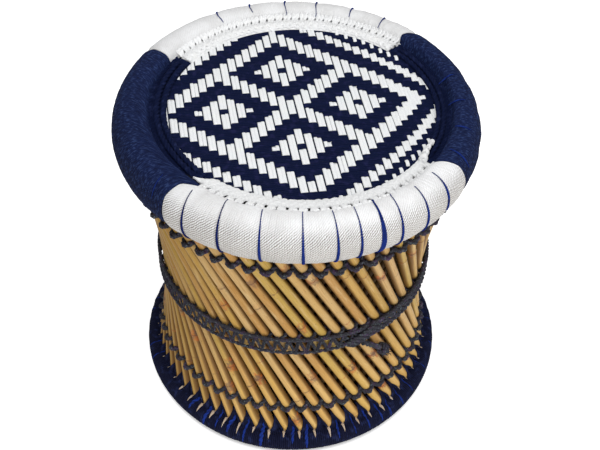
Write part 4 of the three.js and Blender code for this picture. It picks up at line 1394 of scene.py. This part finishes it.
def world():
    """White to the camera, and a softer light on the object."""
    studio = bpy.data.worlds.new("studio")
    bpy.context.scene.world = studio
    studio.use_nodes = True
    nodes, links = studio.node_tree.nodes, studio.node_tree.links
    blend = nodes.new("ShaderNodeMixShader")
    links.new(nodes.new("ShaderNodeLightPath").outputs["Is Camera Ray"], blend.inputs[0])
    grounds = (nodes["Background"], nodes.new("ShaderNodeBackground"))
    for k, (ground, strength) in enumerate(zip(grounds, (WORLD_LIGHT, 1.0))):
        ground.inputs[0].default_value = (1, 1, 1, 1)
        ground.inputs[1].default_value = strength
        links.new(ground.outputs[0], blend.inputs[k + 1])
    links.new(blend.outputs[0], nodes["World Output"].inputs[0])


def aim(thing, place, target, roll=0.0):
    thing.location = place
    thing.rotation_mode = "QUATERNION"
    look = Vector(target) - Vector(place)
    thing.rotation_quaternion = look.to_track_quat("-Z", "Y") @ Quaternion((0, 0, 1), roll)


def lamps():
    for name, place, size, power in LAMPS:
        data = bpy.data.lights.new(name, "AREA")
        data.shape, data.size, data.energy = "DISK", size, power
        aim(add_object(name, data), place, LAMP_TARGET)


def camera():
    data = bpy.data.cameras.new("camera")
    data.lens, data.sensor_width = CAMERA_LENS, CAMERA_SENSOR
    data.clip_start, data.clip_end = CAMERA_CLIP
    thing = add_object("camera", data)
    aim(thing, CAMERA_PLACE, CAMERA_TARGET, CAMERA_ROLL)
    bpy.context.scene.camera = thing


def hoop_looks():
    """The hidden hoops keep their solids, in plain cane."""
    nodes = Nodes("hoop_cane", Roughness=0.7)
    grain = nodes.noise(nodes.spot(), 220.0, 3.0)
    cane = nodes.finish(nodes.mix(grain, (0.30, 0.19, 0.08), (0.42, 0.29, 0.14)), grain, BUMP)
    for node in ("rim_core_hoop", "base_core_hoop"):
        frame["nodes"][node].data.materials.clear()
        frame["nodes"][node].data.materials.append(cane)


camera()
floor()
world()
lamps()
for side in RIM_SECTIONS:
    rim_wrap(side)
    accent_cords(side)
    seat_braid(side)
braid_core()
braid_tip()
seat_weave()
for panel in range(PANELS):
    reed_panel(outer, "outer", panel, REED_SIDES)
    reed_panel(inner, "inner", panel, INNER_REED_SIDES)
twine_row("twine_upper_cords", UPPER_TWINE_HEIGHT, "twine_upper")
twine_row("twine_waist_cords", WAIST_TWINE_HEIGHT, "twine_waist", flatten=0.4, drop=WAIST_TWINE_DROP)
twine_row("twine_lower_cords", LOWER_TWINE_HEIGHT, "twine_lower")
belt()
belt_tail()
base_ring()
base_fans()
base_accents()
reed_tips()
hoop_looks()

bpy.context.scene.view_settings.view_transform = "Standard"
bpy.context.view_layer.update()
